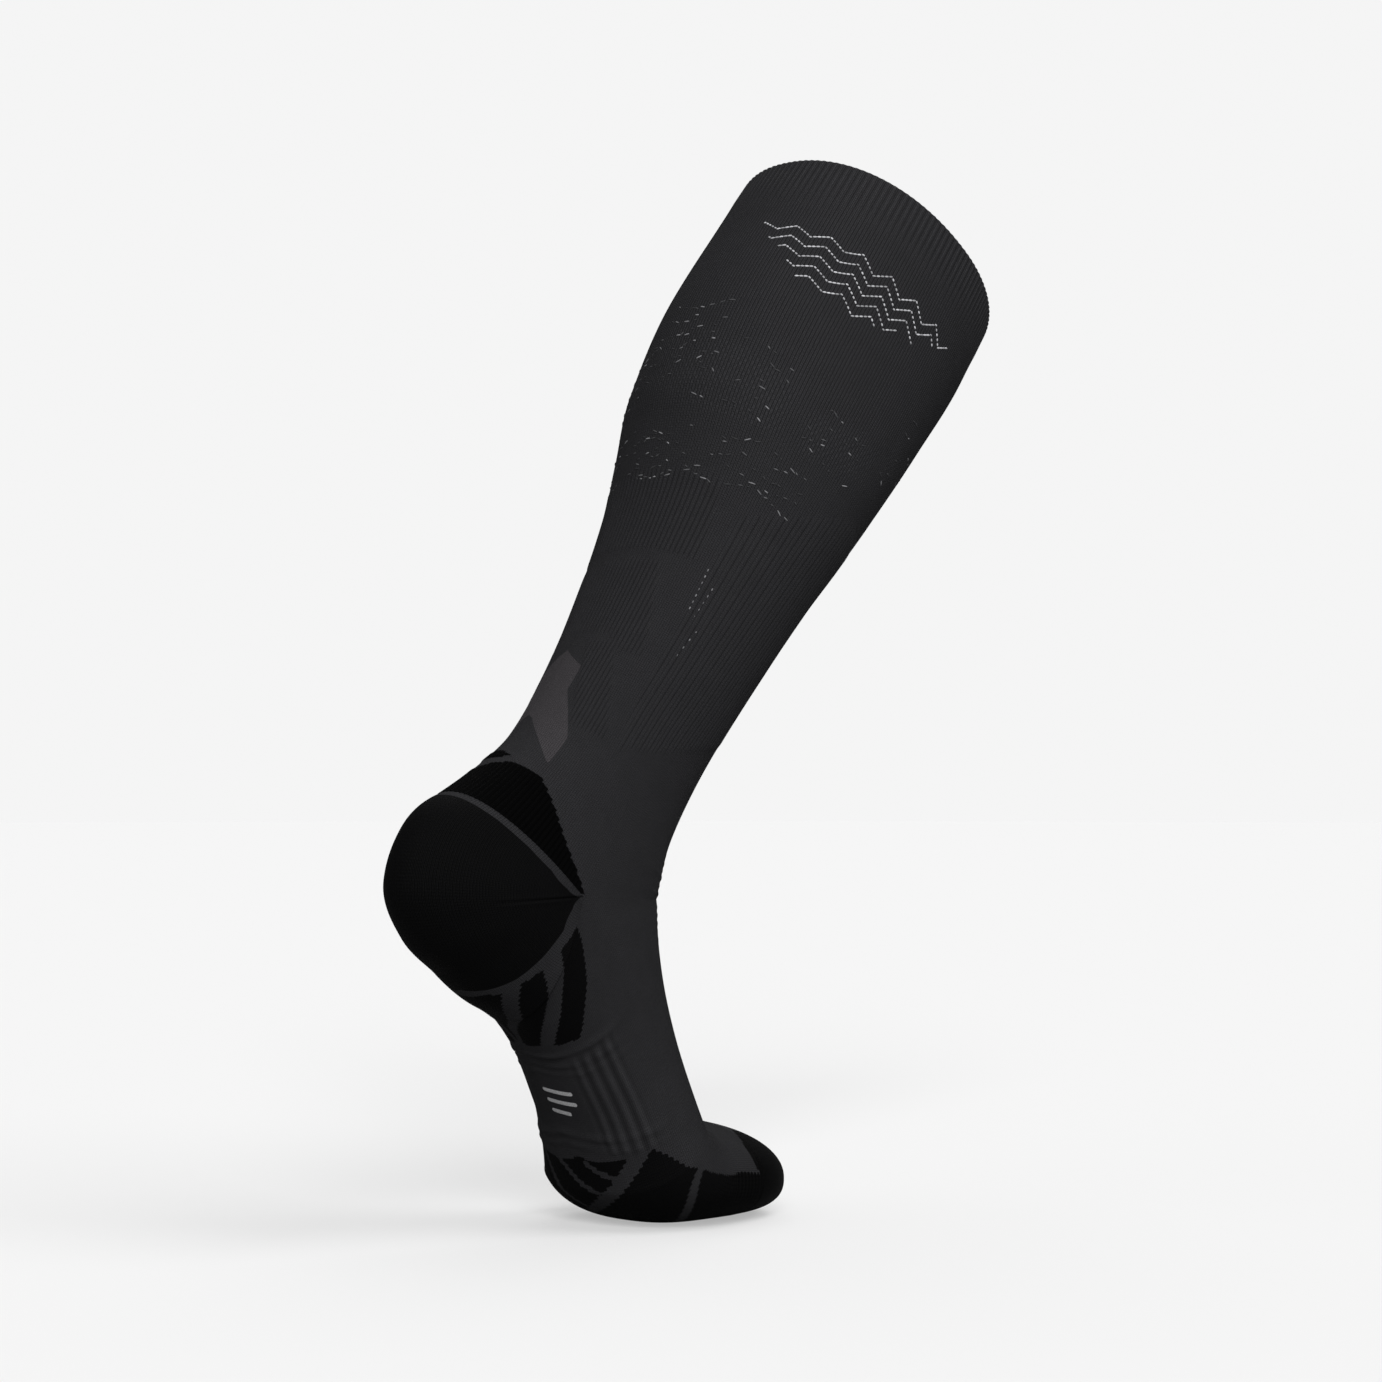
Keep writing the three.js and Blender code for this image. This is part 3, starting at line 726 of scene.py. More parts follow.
def panel_knit(height):
    """Relief of the back and front panels over plain knit, and the painted shade in their
    grooves. The front panel's flat ribs have narrow grooves between them, every other one shallow."""
    turn = np.abs(signed(leg_angle)) - FRONT_FROM
    drawn_in = ((DRAWN_IN_BELOW - height).clip(0) / DRAWN_IN_OVER) ** 2
    edges = [
        (turn - FRONT_DRAWN_IN * drawn_in) * MM_ROUND,
        height - FRONT_LOW - FRONT_LOW_CLIMB * turn,
        FRONT_HIGH + FRONT_HIGH_CLIMB * turn - height,
        FRONT_HIGHEST - height,
    ]
    front = spread(np.minimum.reduce(np.broadcast_arrays(*edges)), FRONT_SOFTNESS)
    back = spread(deepest(leg_angle, height, BACK_PANELS))
    half_pitch = FRONT_RIB_WALES / 2
    away = np.abs((leg_wale + half_pitch) % FRONT_RIB_WALES - half_pitch)
    narrow = np.exp(-((away / FRONT_GROOVE) ** 2))
    narrow = narrow + SHALLOW_GROOVE * np.exp(-(((half_pitch - away) / FRONT_GROOVE) ** 2))
    relief = ribs(leg_wale, 1, LEG_WALE_HEIGHT) + front * FRONT_RIB_HEIGHT * (1 - narrow)
    relief = relief + back * ribs(leg_wale, BACK_RIB_WALES, BACK_RIB_HEIGHT)
    groove_shade = (1 - np.maximum(front, back) / 2) * groove_shading(leg_wale, 1, FINE_GROOVE_SHADE)
    groove_shade = groove_shade + front * narrow * PANEL_GROOVE_SHADE
    return relief, groove_shade + back * groove_shading(leg_wale, BACK_RIB_WALES, PANEL_GROOVE_SHADE)


leg_rows = wall_rows(seam_rows(ANKLE_TOP, CALF_FOOT, LEG_ROWS), LEG_WALL, LEG_INNER_ROWS)
lower_leg = knit_zone(
    "lower_leg_panels",
    leg_sections,
    LEG_COLUMNS,
    leg_rows,
    knit_finish("lower_leg_charcoal"),
    *panel_knit(leg_rows[0][:, None]),
)
place_on_body(lower_leg, "lower_leg")

# The ankle: the narrowest stretch, where the panels run out, with a grey patch over the
# tendon. The patch is the same knit with a lighter yarn.
COLLAR_TOP = 30
ANKLE_ROWS, ANKLE_INNER_ROWS = 44, 6
TENDON_GREY = (0.052, 0.0485, 0.052, 1)
TENDON_PATCH = [(0, 88), (20, 79), (20, 66), (36, 44), (36, 29), (6, 49), (0, 51)]
# Wrinkles across the instep: millimetres up its front (or down it, below 0), height,
# width, and degrees that its middle lies off the front.
WRINKLES = (
    (15.2, 0.22, 0.9, 8),
    (11.8, 0.3, 0.8, -6),
    (9, 0.35, 0.7, 4),
    (6.4, 0.45, 0.8, -9),
    (3.6, 0.4, 0.7, 3),
    (1.2, 0.5, 0.7, -4),
    (-1.6, 0.4, 0.7, 6),
    (-4.1, 0.5, 0.8, 0),
    (-7, 0.35, 0.7, -7),
    (-9.8, 0.3, 0.9, 5),
    (-13, 0.2, 1, -3),
)
WRINKLE_REACH = 30  # degrees to each side of the front
FRONT_CROWDING = 85  # millimetres: sections crowd together in front, where they fan out
INSTEP_ROUND = 0.45  # millimetres: how far the cloth spans the crease beside the instep
INSTEP_ROUND_REACH = 6
INSTEP_CROWDING = 95  # degrees forward of the side, where sections would meet


def instep_wrinkles(at, angle):
    """Soft ridges across the instep, each a bell curve of its own height and width."""
    up_the_front = at * np.abs(at) / FRONT_CROWDING
    relief = np.zeros(np.broadcast(at, angle).shape)
    for place, high, wide, turn in WRINKLES:
        away = (angle - 180 - turn) / WRINKLE_REACH
        relief = relief + high * np.exp(-(((up_the_front - place) / wide) ** 2) - away**2)
    return relief


def instep_round(at, angle):
    """Relief that rounds the crease where leg and foot meet, between side and front: a
    parabola on each side of the seam, whose rows crowd together towards the front."""
    turned = (np.abs(signed(angle)) - 90).clip(0)
    away = np.abs(at) * (1 - turned / INSTEP_CROWDING)
    share = (1 - away / INSTEP_ROUND_REACH).clip(0)
    return INSTEP_ROUND * share**2 * np.sin(np.radians(2 * turned))


ankle_rows = wall_rows(seam_rows(COLLAR_TOP, ANKLE_TOP, ANKLE_ROWS), LEG_WALL, ANKLE_INNER_ROWS)
ankle_at = ankle_rows[0][:, None]
ankle_relief, ankle_groove_shade = panel_knit(ankle_at)
ankle = knit_zone(
    "ankle_panels",
    leg_sections,
    LEG_COLUMNS,
    ankle_rows,
    knit_finish("ankle_charcoal", [("tendon", TENDON_GREY, False)]),
    ankle_relief + instep_wrinkles(ankle_at, leg_angle),
    ankle_groove_shade,
    tendon=deepest(leg_angle, ankle_at, [TENDON_PATCH]),
)
place_on_body(ankle, "ankle")

# The collar above the heel: two black ribbed crescents behind, and small wrinkles in
# front, where the instep bends. Black plush yarn swaps with charcoal from needle to
# needle, which leaves the crescents' slanted edges toothed.
COLLAR_ROWS, COLLAR_INNER_ROWS = 36, 5
CRESCENT_RIB_WALES = 2
CRESCENT_RIB_HEIGHT = 0.45
CRESCENTS = (
    [(0, -4), (0, 16.5), (9, 19.5), (22, 22.8), (38, 22.6), (50, 17), (66, 9.5), (89, 1.5), (89, -4)],
    [(0, 23.2), (0, 29.4), (6, 29), (12, 27.6), (17, 25.6), (10, 24)],
)
collar_rows = wall_rows(seam_rows(0, COLLAR_TOP, COLLAR_ROWS), LEG_WALL, COLLAR_INNER_ROWS)
collar_at = collar_rows[0][:, None]
crescents = deepest(leg_angle, collar_at, CRESCENTS)
ribbed = spread(crescents)
collar = knit_zone(
    "heel_collar",
    leg_sections,
    LEG_COLUMNS,
    collar_rows,
    knit_finish("collar_charcoal", [("crescents", DEEP_BLACK_AND_SHADE, True)]),
    ribs(leg_wale, 1, LEG_WALE_HEIGHT)
    + ribbed * ribs(leg_wale, CRESCENT_RIB_WALES, CRESCENT_RIB_HEIGHT)
    + instep_wrinkles(collar_at, leg_angle)
    + instep_round(collar_at, leg_angle),
    # painted shade in the crescents' grooves and between the fine ribs
    ribbed * groove_shading(leg_wale, CRESCENT_RIB_WALES, 1)
    + (1 - ribbed) * groove_shading(leg_wale, 1, FINE_GROOVE_SHADE),
    crescents=crescents,
)
place_on_body(collar, "collar")

# The heel pocket: a cup knitted back and forth in black plush yarn between two charcoal
# stripes, fanned about the corner where leg, heel and foot meet. A short gore line runs
# back from that corner on each side.
HEEL_FROM = 137  # directions of the pocket's first and last courses
HEEL_TO = 254
HEEL_WALL = 2.2
HEEL_ROWS, HEEL_INNER_ROWS = 96, 14
HEEL_SIDE = 27.5
HEEL_COLUMNS = 2 * WALES  # of which the pocket has the half behind the side line
SOLE_POWER = 2.4
HEEL_MM = 0.83  # millimetres to a degree of the fan, on the sole
HEEL_SECTIONS = {
    "at": np.array([137, 155, 175, 195, 215, 235, 254], float),
    "back": np.array([57.5, 65.5, 68.5, 61, 51.5, 48.5, 47.3]),
}
# The cup's first and last directions, by degrees from the middle of the heel.
CUP_AT = (0, 12, 32, 52, 68, 80, 87, 90)
CUP_FIRST = (140.2, 140.2, 141, 143, 147, 158.5, 178, 182)
CUP_LAST = (223, 225, 229.5, 232, 232.5, 219, 195, 182.5)
GORE_DIRECTION = 182.5
GORE_FROM, GORE_FADE = 42, 6  # degrees round, where the gore line ends
GORE_DEPTH = 0.7
GORE_WIDTH = 0.5
GORE_LIP_WIDTH, GORE_LIP_SHARE = 1.5, 0.5  # its raised lips, to its own depth
ARCH_ROUND = 1.5  # millimetres: how far the cloth spans the corner between heel and arch
ARCH_ROUND_REACH = 10
# Black stripes run from the heel along the sole: (degrees, millimetres along the foot).
CENTRE_WEDGE = [(0, -22), (20, -21.5), (27, -18), (18.5, -10), (9, 2), (2.5, 12), (0.5, 27), (0, 27)]
INNER_STRIPE = [(49, -13), (44, -5), (37, 2), (31, 12), (24, 22), (19, 31), (9, 31.5), (4.6, 29)]
INNER_STRIPE += [(9, 16), (16, 4), (28, -9), (37, -16.5)]
OUTER_STRIPE = [(75, -2), (74, 6), (70, 12), (65, 19), (58, 25), (50, 33), (45, 37), (28, 33.5)]
OUTER_STRIPE += [(33, 27), (40, 19), (48, 8), (54.5, 0), (62, -9)]
SOLE_STRIPES = (CENTRE_WEDGE, INNER_STRIPE, OUTER_STRIPE)


def heel_sections(at):
    """Half sections that fan about the ankle point. Only their back halves are used."""
    return {
        "point": np.zeros((len(at), 3)),
        "backward": direction(at),
        "forward": direction(at + 180),
        "back": smooth(HEEL_SECTIONS, "back", at),
        "front": HEEL_SIDE,
        "side": HEEL_SIDE,
        "back_power": np.interp(at, [HEEL_FROM, HEEL_TO], [BACK_POWER, SOLE_POWER]),
        "front_power": FRONT_POWER,
    }


def close_poles(piece):
    """Merges the points that meet at a pole, and drops the faces that this leaves empty."""
    mesh = bmesh.new()
    mesh.from_mesh(piece.data)
    bmesh.ops.remove_doubles(mesh, verts=mesh.verts, dist=2e-7)
    bmesh.ops.dissolve_degenerate(mesh, edges=mesh.edges, dist=1e-7)
    mesh.to_mesh(piece.data)
    mesh.free()


def arch_round(away, turned):
    """Relief that rounds the corner between heel and arch: a parabola on each side of the
    seam, away millimetres from it, which fades from the sole's middle to the side line."""
    share = (1 - away / ARCH_ROUND_REACH).clip(0)
    return ARCH_ROUND * share**2 * np.cos(np.radians(turned)).clip(0)


heel_outer = np.linspace(HEEL_FROM, HEEL_TO, HEEL_ROWS)
heel_at, heel_offset, heel_share = wall_rows(heel_outer, HEEL_WALL, HEEL_INNER_ROWS)
heel_quarter = HEEL_COLUMNS // 4
# From the near side round the back to the far side.
heel_columns = np.arange(heel_quarter, -heel_quarter - 1, -1) % HEEL_COLUMNS
heel_wale = wales_round(HEEL_COLUMNS)[heel_columns]
heel_angle = heel_wale[None] * 360 / WALES
heel_turn = np.abs(signed(heel_angle))
heel_direction = heel_at[:, None]
fan = rings(heel_sections(heel_at), HEEL_COLUMNS, heel_offset)[:, heel_columns]
fan_out = rings(heel_sections(heel_at), HEEL_COLUMNS, heel_offset + 1.0)[:, heel_columns] - fan
mm_to_degree = np.radians(np.hypot(fan[..., 0], fan[..., 2]))
cup_first = np.interp(heel_turn, CUP_AT, CUP_FIRST)
cup_last = np.interp(heel_turn, CUP_AT, CUP_LAST)
gore_away = (heel_direction - GORE_DIRECTION) * mm_to_degree
gore = GORE_LIP_SHARE * np.exp(-((gore_away / GORE_LIP_WIDTH) ** 2))
gore = gore - np.exp(-((gore_away / GORE_WIDTH) ** 2))
gore = gore * GORE_DEPTH * ((heel_turn - GORE_FROM) / GORE_FADE).clip(0, 1)
heel_relief = ribs(heel_wale, 1, LEG_WALE_HEIGHT) + gore
heel_relief = heel_relief + arch_round((HEEL_TO - heel_direction) * mm_to_degree, heel_turn)
heel = knit_object(
    "heel_cup",
    fan + (heel_share[:, None] * heel_relief)[..., None] * fan_out,
    (heel_at - HEEL_FROM) * HEEL_MM,
    knit_finish("heel_black", [("cup", BLACK, False), ("stripes", BLACK, True)], PLUSH_ROUGHNESS),
    {
        "cup": np.minimum(heel_direction - cup_first, cup_last - heel_direction) * mm_to_degree,
        "stripes": deepest(heel_angle, (heel_direction - HEEL_TO) * HEEL_MM, SOLE_STRIPES),
        # painted shade between the fine ribs
        "groove_shade": groove_shading(heel_wale, 1, FINE_GROOVE_SHADE) + 0 * heel_direction,
    },
    wales=WALES / 2,
    closed=False,
)
close_poles(heel)
place_on_body(heel, "heel_pocket")

# The foot: plain charcoal knit with black plush stripes that run on from the heel, an
# elastic band of lengthwise ribs round the arch that puckers at both its ends, and a
# black forefoot with charcoal lines. It bends at the toe crease, below the ball.
FOOT_PITCH = 56  # down from level
FOOT_WALL = 1.8
FOOT_ROWS, FOOT_INNER_ROWS = 150, 24
FOOT_COLUMNS = 2 * WALES
BALL_START = 110  # lengths along the foot from the ankle point
BALL_LENGTH = 44
TOES_FROM = BALL_START + BALL_LENGTH
TOE_CAP_START = 16  # ahead of the toe crease
TOE_LENGTH = 54
CREASE_RADIUS = 1.5
TOE_HEIGHT = 40
TOE_TIP_HEIGHT = 13.5
TOE_HEIGHT_TAPER = 0.16
TOE_SIDE_SHARE = 0.45
BALL_HALF_WIDTH = 41.6
TOE_WIDTH_TAPER = 0.1
BLUNT_TIP = 2.6
BLUNT_SOLE = 5
BALL_POWER = 2.5
TOE_TOP_POWER = 2.1
FOOT_SECTIONS = table(
    "at sole instep drop side sole_turn instep_turn",
    (0, 47.3, 59, 0, 27.5, 40, 36.5),
    (15, 41.3, 50.6, 0.2, 27.8, 32, 26.5),
    (30, 36.8, 42.5, 0.7, 28, 24.5, 18),
    (50, 33.5, 32.5, 1.7, 28.6, 15.5, 10),
    (75, 33.6, 21, 4, 31.3, 6.5, 3.5),
    (95, 36.5, 12.7, 7.9, 35.7, 2, 0.8),
    (110, 40.4, 7, 11.6, 39.6, 0, 0),
)
ALONG_THE_FOOT = direction(-FOOT_PITCH)
ABOVE_THE_FOOT = direction(90 - FOOT_PITCH)
DOWN = direction(270)
ball_start = {column: values[-1] for column, values in FOOT_SECTIONS.items()}
CREASE = ALONG_THE_FOOT * BALL_START + ABOVE_THE_FOOT * (ball_start["instep"] + CREASE_RADIUS)
FLOOR_BELOW_CREASE = CREASE + DOWN * (CREASE_RADIUS + TOE_HEIGHT)


def foot_sections(at):
    """Sections of the foot. The side line drops towards the sole on its way to the ball."""
    value = lambda column: smooth(FOOT_SECTIONS, column, at)
    drop = value("drop")
    return {
        "point": at[:, None] * ALONG_THE_FOOT - drop[:, None] * ABOVE_THE_FOOT,
        "backward": direction(270 - FOOT_PITCH + value("sole_turn")),
        "forward": direction(90 - FOOT_PITCH - value("instep_turn")),
        "back": value("sole") - drop,
        "front": value("instep") + drop,
        "side": value("side"),
        "back_power": SOLE_POWER,
        "front_power": FRONT_POWER,
    }


def ball_sections(share):
    """Sections that turn about the toe crease, from the foot's pitch (0) to flat (1)."""
    eased = share * share * (3 - 2 * share)
    towards = direction(270 - FOOT_PITCH * (1 - share))
    above = ball_start["instep"] + ball_start["drop"]
    below = ball_start["sole"] - ball_start["drop"]
    front = above + (TOE_HEIGHT * (1 - TOE_SIDE_SHARE) - above) * eased
    widening = np.sin(share * math.pi / 2)
    return {
        "point": CREASE + towards * (CREASE_RADIUS + front)[:, None],
        "backward": towards,
        "forward": -towards,
        "back": below + (TOE_HEIGHT * TOE_SIDE_SHARE - below) * eased,
        "front": front,
        "side": ball_start["side"] + (BALL_HALF_WIDTH - ball_start["side"]) * widening,
        "back_power": BALL_POWER,
        "front_power": TOE_TOP_POWER,
    }


def toe_sections(ahead):
    """Upright sections of the flat toes, ahead of the crease, with a blunt round tip."""
    share = ahead / TOE_LENGTH
    side_height = TOE_HEIGHT * TOE_SIDE_SHARE * (1 - share) + TOE_TIP_HEIGHT * share
    rounding = np.sqrt((1 - share**BLUNT_TIP).clip(0))
    return {
        "point": FLOOR_BELOW_CREASE + np.stack([ahead, 0 * ahead, side_height], -1),
        "backward": np.tile(DOWN, (len(share), 1)),
        "forward": np.tile(-DOWN, (len(share), 1)),
        "back": side_height * np.sqrt((1 - share**BLUNT_SOLE).clip(0)),
        "front": (TOE_HEIGHT * (1 - TOE_HEIGHT_TAPER * share) - side_height) * rounding,
        "side": BALL_HALF_WIDTH * (1 - TOE_WIDTH_TAPER * share) * rounding,
        "back_power": BALL_POWER,
        "front_power": TOE_TOP_POWER,
    }


def sole_to_toes(at):
    """Sections at any lengths along the foot, round the ball and out over the toes."""
    on_foot, on_toes = at <= BALL_START, at > TOES_FROM
    on_ball = ~on_foot & ~on_toes
    parts = [
        (on_foot, foot_sections(at[on_foot])),
        (on_ball, ball_sections((at[on_ball] - BALL_START) / BALL_LENGTH)),
        (on_toes, toe_sections(at[on_toes] - TOES_FROM)),
    ]
    section = {key: np.empty((len(at), *np.shape(value)[1:])) for key, value in parts[0][1].items()}
    for here, part in parts:
        for key, value in part.items():
            section[key][here] = value
    return section


# The black forefoot, as (degrees from the middle of the sole, millimetres along), and
# the lines in it: the same, with a width where each begins and ends.
FOREFOOT = [(-30, 95.4), (0, 95.4), (16, 97.5), (58, 97.5), (65, 101.6), (70, 105.8), (80, 114.4)]
FOREFOOT += [(83, 118.8), (91, 136.4), (96, 156.4), (95, 168), (104, 165.8), (115, 165.8)]
FOREFOOT += [(141, 172.6), (152, 179), (180, 184), (210, 184), (210, 260), (-30, 260)]
BALL_LINE = [(81.5, 117), (73, 121), (63.5, 127.5), (50, 134.5), (30, 144), (0, 155)]
FOREFOOT_LINES = (
    ([(52, 95), (39, 102), (25, 109), (-3, 119), (-21, 126)], 7, 3.5),
    (BALL_LINE, 4.5, 3.5),
    ([(-around, along) for around, along in BALL_LINE], 4.5, 3.5),
    ([(5, 98), (14, 101.8), (27, 105), (34, 107)], 2.5, 2.2),
    ([(-24, 96), (-15, 101), (-4, 107), (10, 111)], 2.5, 2.2),
    ([(-42, 98), (-33, 106), (-24, 113), (-13, 119)], 2.5, 2.2),
)
# The arch band lies between two lengths along the foot, and two angles from the middle of
# the sole. Its far end climbs in millimetres a degree, and its ribs slant a little.
BAND_FROM, BAND_TO, BAND_TO_CLIMB = 47, 90, 0.12
BAND_NEAR, BAND_FAR = 32, 64
BAND_SOFTNESS = 5
BAND_RIB_DEGREES = 8
BAND_RIB_HEIGHT = 0.5
BAND_RIB_START = 48
BAND_RIB_SLANT = 0.05  # degrees to a millimetre along
# Painted shade in its grooves, and a painted highlight along its ribs' tops.
BAND_GROOVE_SHADE, BAND_RIB_HIGHLIGHT = 0.4, 0.9
# Its cross ridges, where it draws the cloth in: (place, height, width).
PUCKERS = ((38, 0.6, 1.6), (45, 0.35, 1.3), (50, 0.25, 1.1), (84, 0.6, 1.5), (89, 0.3, 1.2))
PUCKER_CLIMB = 0.11
PUCKER_END, PUCKER_SOFTNESS = 72, 9
UNEVEN, UNEVEN_TURN, UNEVEN_SHIFT = 0.35, 11, 4  # share, and degrees of its wave
# Short bars are knitted in white on the sole: (degrees, millimetres along) at each end.
TICKS = (
    ([(-9, 61), (15, 63.5)], 2.2, 2.2),
    ([(-9, 67), (15, 69.5)], 2.2, 2.2),
    ([(-9, 73), (6, 74.6)], 2.2, 2.2),
)
TICK_WHITE = (0.52, 0.52, 0.53, 1)
# The forefoot's black is painted deeper towards the toe pocket, as shade where the foot turns away from
# the light, from about this far along.
TOE_SHADE_FROM = 159
TOE_SHADE_RISE = 0.02
SOLE_CROWDING = 0.4  # millimetres of cloth to one along the foot, on the sole at the heel


def line_depth(angle, along, lines):
    """Depth inside the nearest of some lines that change width from end to end."""
    x, y = np.broadcast_arrays(signed(angle) * MM_ROUND, along)
    depth = np.full(x.shape, -np.inf)
    for path, begins, ends in lines:
        pieces = len(path) - 1
        for index, (away, share) in enumerate(to_segments(x, y, np.array(path) * (MM_ROUND, 1))):
            width = begins + (ends - begins) * (index + share) / pieces
            depth = np.maximum(depth, width / 2 - away)
    return depth


def band_knit(at, angle):
    """Relief of the arch band: slanted ribs between cross ridges that fade out at the sides.
    Its grooves get painted shade and its ribs' tops a painted highlight."""
    turned = from_centre(angle)
    middle = spread(np.minimum(at - BAND_FROM, BAND_TO + BAND_TO_CLIMB * turned - at), BAND_SOFTNESS)
    band = middle * spread((BAND_FAR - turned) * MM_ROUND, BAND_SOFTNESS)
    band = band * spread((turned - BAND_NEAR) * MM_ROUND, BAND_SOFTNESS)
    rib = ribs(turned - BAND_RIB_SLANT * (at - BAND_RIB_START), BAND_RIB_DEGREES, 1)
    relief = BAND_RIB_HEIGHT * band * rib
    fade = spread((PUCKER_END - turned) * MM_ROUND, PUCKER_SOFTNESS)
    for place, high, wide in PUCKERS:
        uneven = UNEVEN * np.sin(math.radians(UNEVEN_TURN) * (turned + UNEVEN_SHIFT * place))
        ridge = np.exp(-(((at - place - PUCKER_CLIMB * turned) / wide) ** 2))
        relief = relief + fade * high * (1 + uneven) * ridge
    return relief, band * (BAND_GROOVE_SHADE - BAND_RIB_HIGHLIGHT * rib)


foot_outer = seam_rows(0, TOES_FROM + TOE_CAP_START, FOOT_ROWS)
foot_rows = wall_rows(foot_outer, FOOT_WALL, FOOT_INNER_ROWS)
foot_at = foot_rows[0][:, None]
foot_wale = wales_round(FOOT_COLUMNS)
foot_angle = foot_wale[None] * 360 / WALES
foot_turn = np.abs(signed(foot_angle))
foot_spread = SOLE_CROWDING + (1 - SOLE_CROWDING) * (foot_turn / 90).clip(0, 1)
band_relief, band_groove_shade = band_knit(foot_at, foot_angle)
foot_black = deepest(foot_angle, foot_at, SOLE_STRIPES)
foot_black = np.maximum(foot_black, depth_inside(foot_turn, foot_at, FOREFOOT))
foot_areas = [
    ("black", BLACK, True),
    ("thick", DEEP_BLACK_AND_SHADE, True),
    ("lines", CHARCOAL, True),
    ("ticks", TICK_WHITE, False),
]
foot = knit_zone(
    "foot_knit",
    sole_to_toes,
    FOOT_COLUMNS,
    foot_rows,
    knit_finish("foot_charcoal", foot_areas, PLUSH_ROUGHNESS),
    ribs(foot_wale, 1, LEG_WALE_HEIGHT)
    + band_relief
    + instep_wrinkles(-foot_at, foot_angle)
    + arch_round(foot_at * foot_spread, foot_turn)
    + instep_round(foot_at, foot_angle),
    band_groove_shade + groove_shading(foot_wale, 1, FINE_GROOVE_SHADE),
    black=foot_black,
    thick=np.minimum(foot_black, (foot_at - TOE_SHADE_FROM) * TOE_SHADE_RISE),
    lines=line_depth(foot_angle, foot_at, FOREFOOT_LINES),
    ticks=line_depth(foot_angle, foot_at, TICKS),
)
place_on_body(foot, "foot")

# The toe pocket: knitted back and forth in black plush yarn, and closed over the toes.
# Its courses crowd together round the tip.
TOE_WALL = 2.2
TOE_ROWS, TOE_INNER_ROWS = 64, 14
LAST_TURN, LAST_INNER_TURN = 89, 62  # degrees round the tip's curve
TOE_CURVE = 36  # millimetres of cloth to a radian of it
toe_outer = np.linspace(0, LAST_TURN, TOE_ROWS)
toe_inner = np.linspace(LAST_INNER_TURN, 0, TOE_INNER_ROWS)
# The outside and the inside each end in a row whose points all lie at the tip.
toe_turn = np.concatenate([toe_outer, [90, 90], toe_inner])
toe_ahead = TOE_CAP_START + (TOE_LENGTH - TOE_CAP_START) * np.sin(np.radians(toe_turn))
toe_offset = np.where(np.arange(len(toe_turn)) > TOE_ROWS + 1, -TOE_WALL, 0.0)
toe_rings = rings(toe_sections(toe_ahead), FOOT_COLUMNS, toe_offset)
toe_rings[TOE_ROWS] = toe_rings[TOE_ROWS].mean(0)
toe_rings[TOE_ROWS + 1] = toe_rings[TOE_ROWS] - (TOE_WALL, 0, 0)
toe_place = TOES_FROM + toe_ahead[:, None]
# The toe cap's black is painted deeper, as shade where it turns away from the light.
toe = knit_object(
    "toe_cup",
    toe_rings,
    TOES_FROM + TOE_CAP_START + TOE_CURVE * np.radians(toe_turn),
    knit_finish("toe_black", [("black", DEEP_BLACK_AND_SHADE, True), ("lines", CHARCOAL, True)], PLUSH_ROUGHNESS),
    {
        "black": depth_inside(foot_turn, toe_place, FOREFOOT),
        "lines": line_depth(foot_angle, toe_place, FOREFOOT_LINES),
    },
)
close_poles(toe)
place_on_body(toe, "toe_pocket")

# The floor: plain pale paper that runs back to the horizon. It glows a little to the
# camera, so that its shadows stay faint, and sheds less light up on the cloth.
FLOOR_Z = (FLOOR_BELOW_CREASE - CUFF_MIDDLE)[2] * MM - 0.0003
FLOOR_REACH = 60
PAPER = 0.42
PAPER_GLOW = 0.415
PAPER_UNSEEN = 0.3
paper = Finish("pale_paper")
seen = paper.value("ShaderNodeLightPath", {})
lit = paper.value("ShaderNodeBsdfDiffuse", {}, (PAPER, PAPER, PAPER, 1))
glow = paper.node("ShaderNodeEmission", {}, {"Strength": PAPER_GLOW})
unseen = paper.value("ShaderNodeBsdfDiffuse", {}, (PAPER_UNSEEN, PAPER_UNSEEN, PAPER_UNSEEN, 1))
bright = paper.value("ShaderNodeAddShader", {}, lit, glow)
paper.shine(paper.value("ShaderNodeMixShader", {}, seen, unseen, bright))
corners = [(-1, -1), (1, -1), (1, 1), (-1, 1)]
corners = [(x * FLOOR_REACH, y * FLOOR_REACH, FLOOR_Z) for x, y in corners]
floor = smooth_object("studio_floor", corners, [(0, 1, 2, 3)], paper)

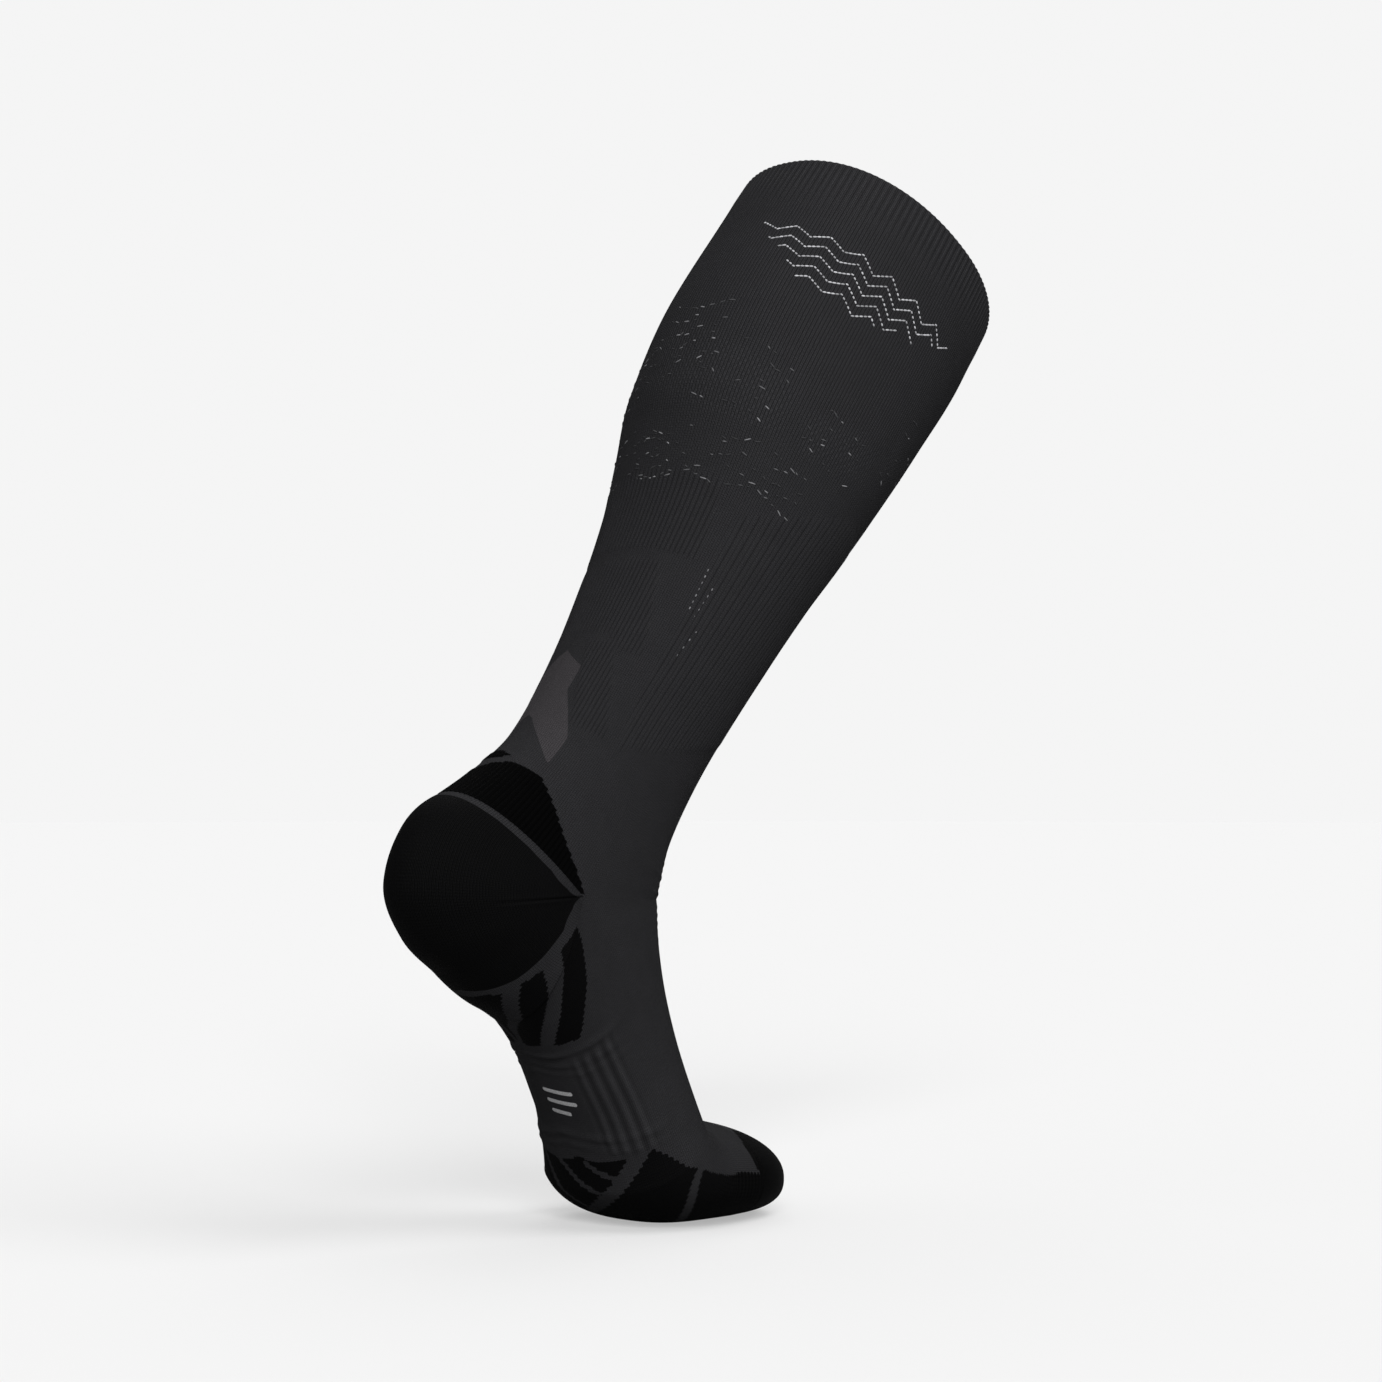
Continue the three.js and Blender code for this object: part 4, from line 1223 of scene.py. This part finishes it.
# The light: a pale studio, dimmer than its backdrop looks, with large soft lights from
# beside the camera, from both sides and from behind.
BACKDROP = 0.912
STUDIO_LIGHT = 0.22
world = bpy.data.worlds.new("studio")
world.use_nodes = True
studio = world.node_tree
backdrop = studio.nodes["Background"]
backdrop.inputs["Color"].default_value = (1, 1, 1, 1)
seen = studio.nodes.new("ShaderNodeLightPath").outputs["Is Camera Ray"]
brightness = studio.nodes.new("ShaderNodeMapRange")
brightness.inputs["To Min"].default_value = STUDIO_LIGHT
brightness.inputs["To Max"].default_value = BACKDROP
studio.links.new(seen, brightness.inputs["Value"])
studio.links.new(brightness.outputs["Result"], backdrop.inputs["Strength"])
bpy.context.scene.world = world
bpy.context.scene.view_settings.view_transform = "Standard"


def soft_light(name, turn, height, strength, width):
    """A distant light as wide as a softbox, from an angle round the sock and a height."""
    light = bpy.data.lights.new(name, "SUN")
    light.energy = strength
    light.angle = math.radians(width)
    lamp = bpy.data.objects.new(name, light)
    lamp.rotation_euler = (math.radians(90 - height), 0, math.radians(turn))
    bpy.context.scene.collection.objects.link(lamp)


soft_light("camera_softbox", -40, 26, 2.9, 30)
soft_light("left_softbox", -110, 38, 0.15, 40)
soft_light("right_softbox", 30, 50, 1.35, 40)
soft_light("back_softbox", 120, 60, 0.8, 50)

# The camera stands behind the leg on its near side, a little below the cuff, and looks
# slightly up.
CAMERA_TURN = -45.35
CAMERA_HEIGHT = -2.37  # degrees
CAMERA_DISTANCE = 1.1996
CAMERA_TARGET = (np.array([84.86, 0, 80.05]) - CUFF_MIDDLE) * MM
CAMERA_LENS = 78.1
turn, tilt = math.radians(CAMERA_TURN), math.radians(CAMERA_HEIGHT)
level = math.cos(tilt)
camera_way = np.array([math.sin(turn) * level, -math.cos(turn) * level, math.sin(tilt)])
camera_data = bpy.data.cameras.new("camera")
camera_data.lens = CAMERA_LENS
camera = bpy.data.objects.new("camera", camera_data)
camera.location = CAMERA_TARGET + camera_way * CAMERA_DISTANCE
camera.rotation_euler = (math.radians(90) - tilt, 0, turn)
bpy.context.scene.collection.objects.link(camera)
bpy.context.scene.camera = camera
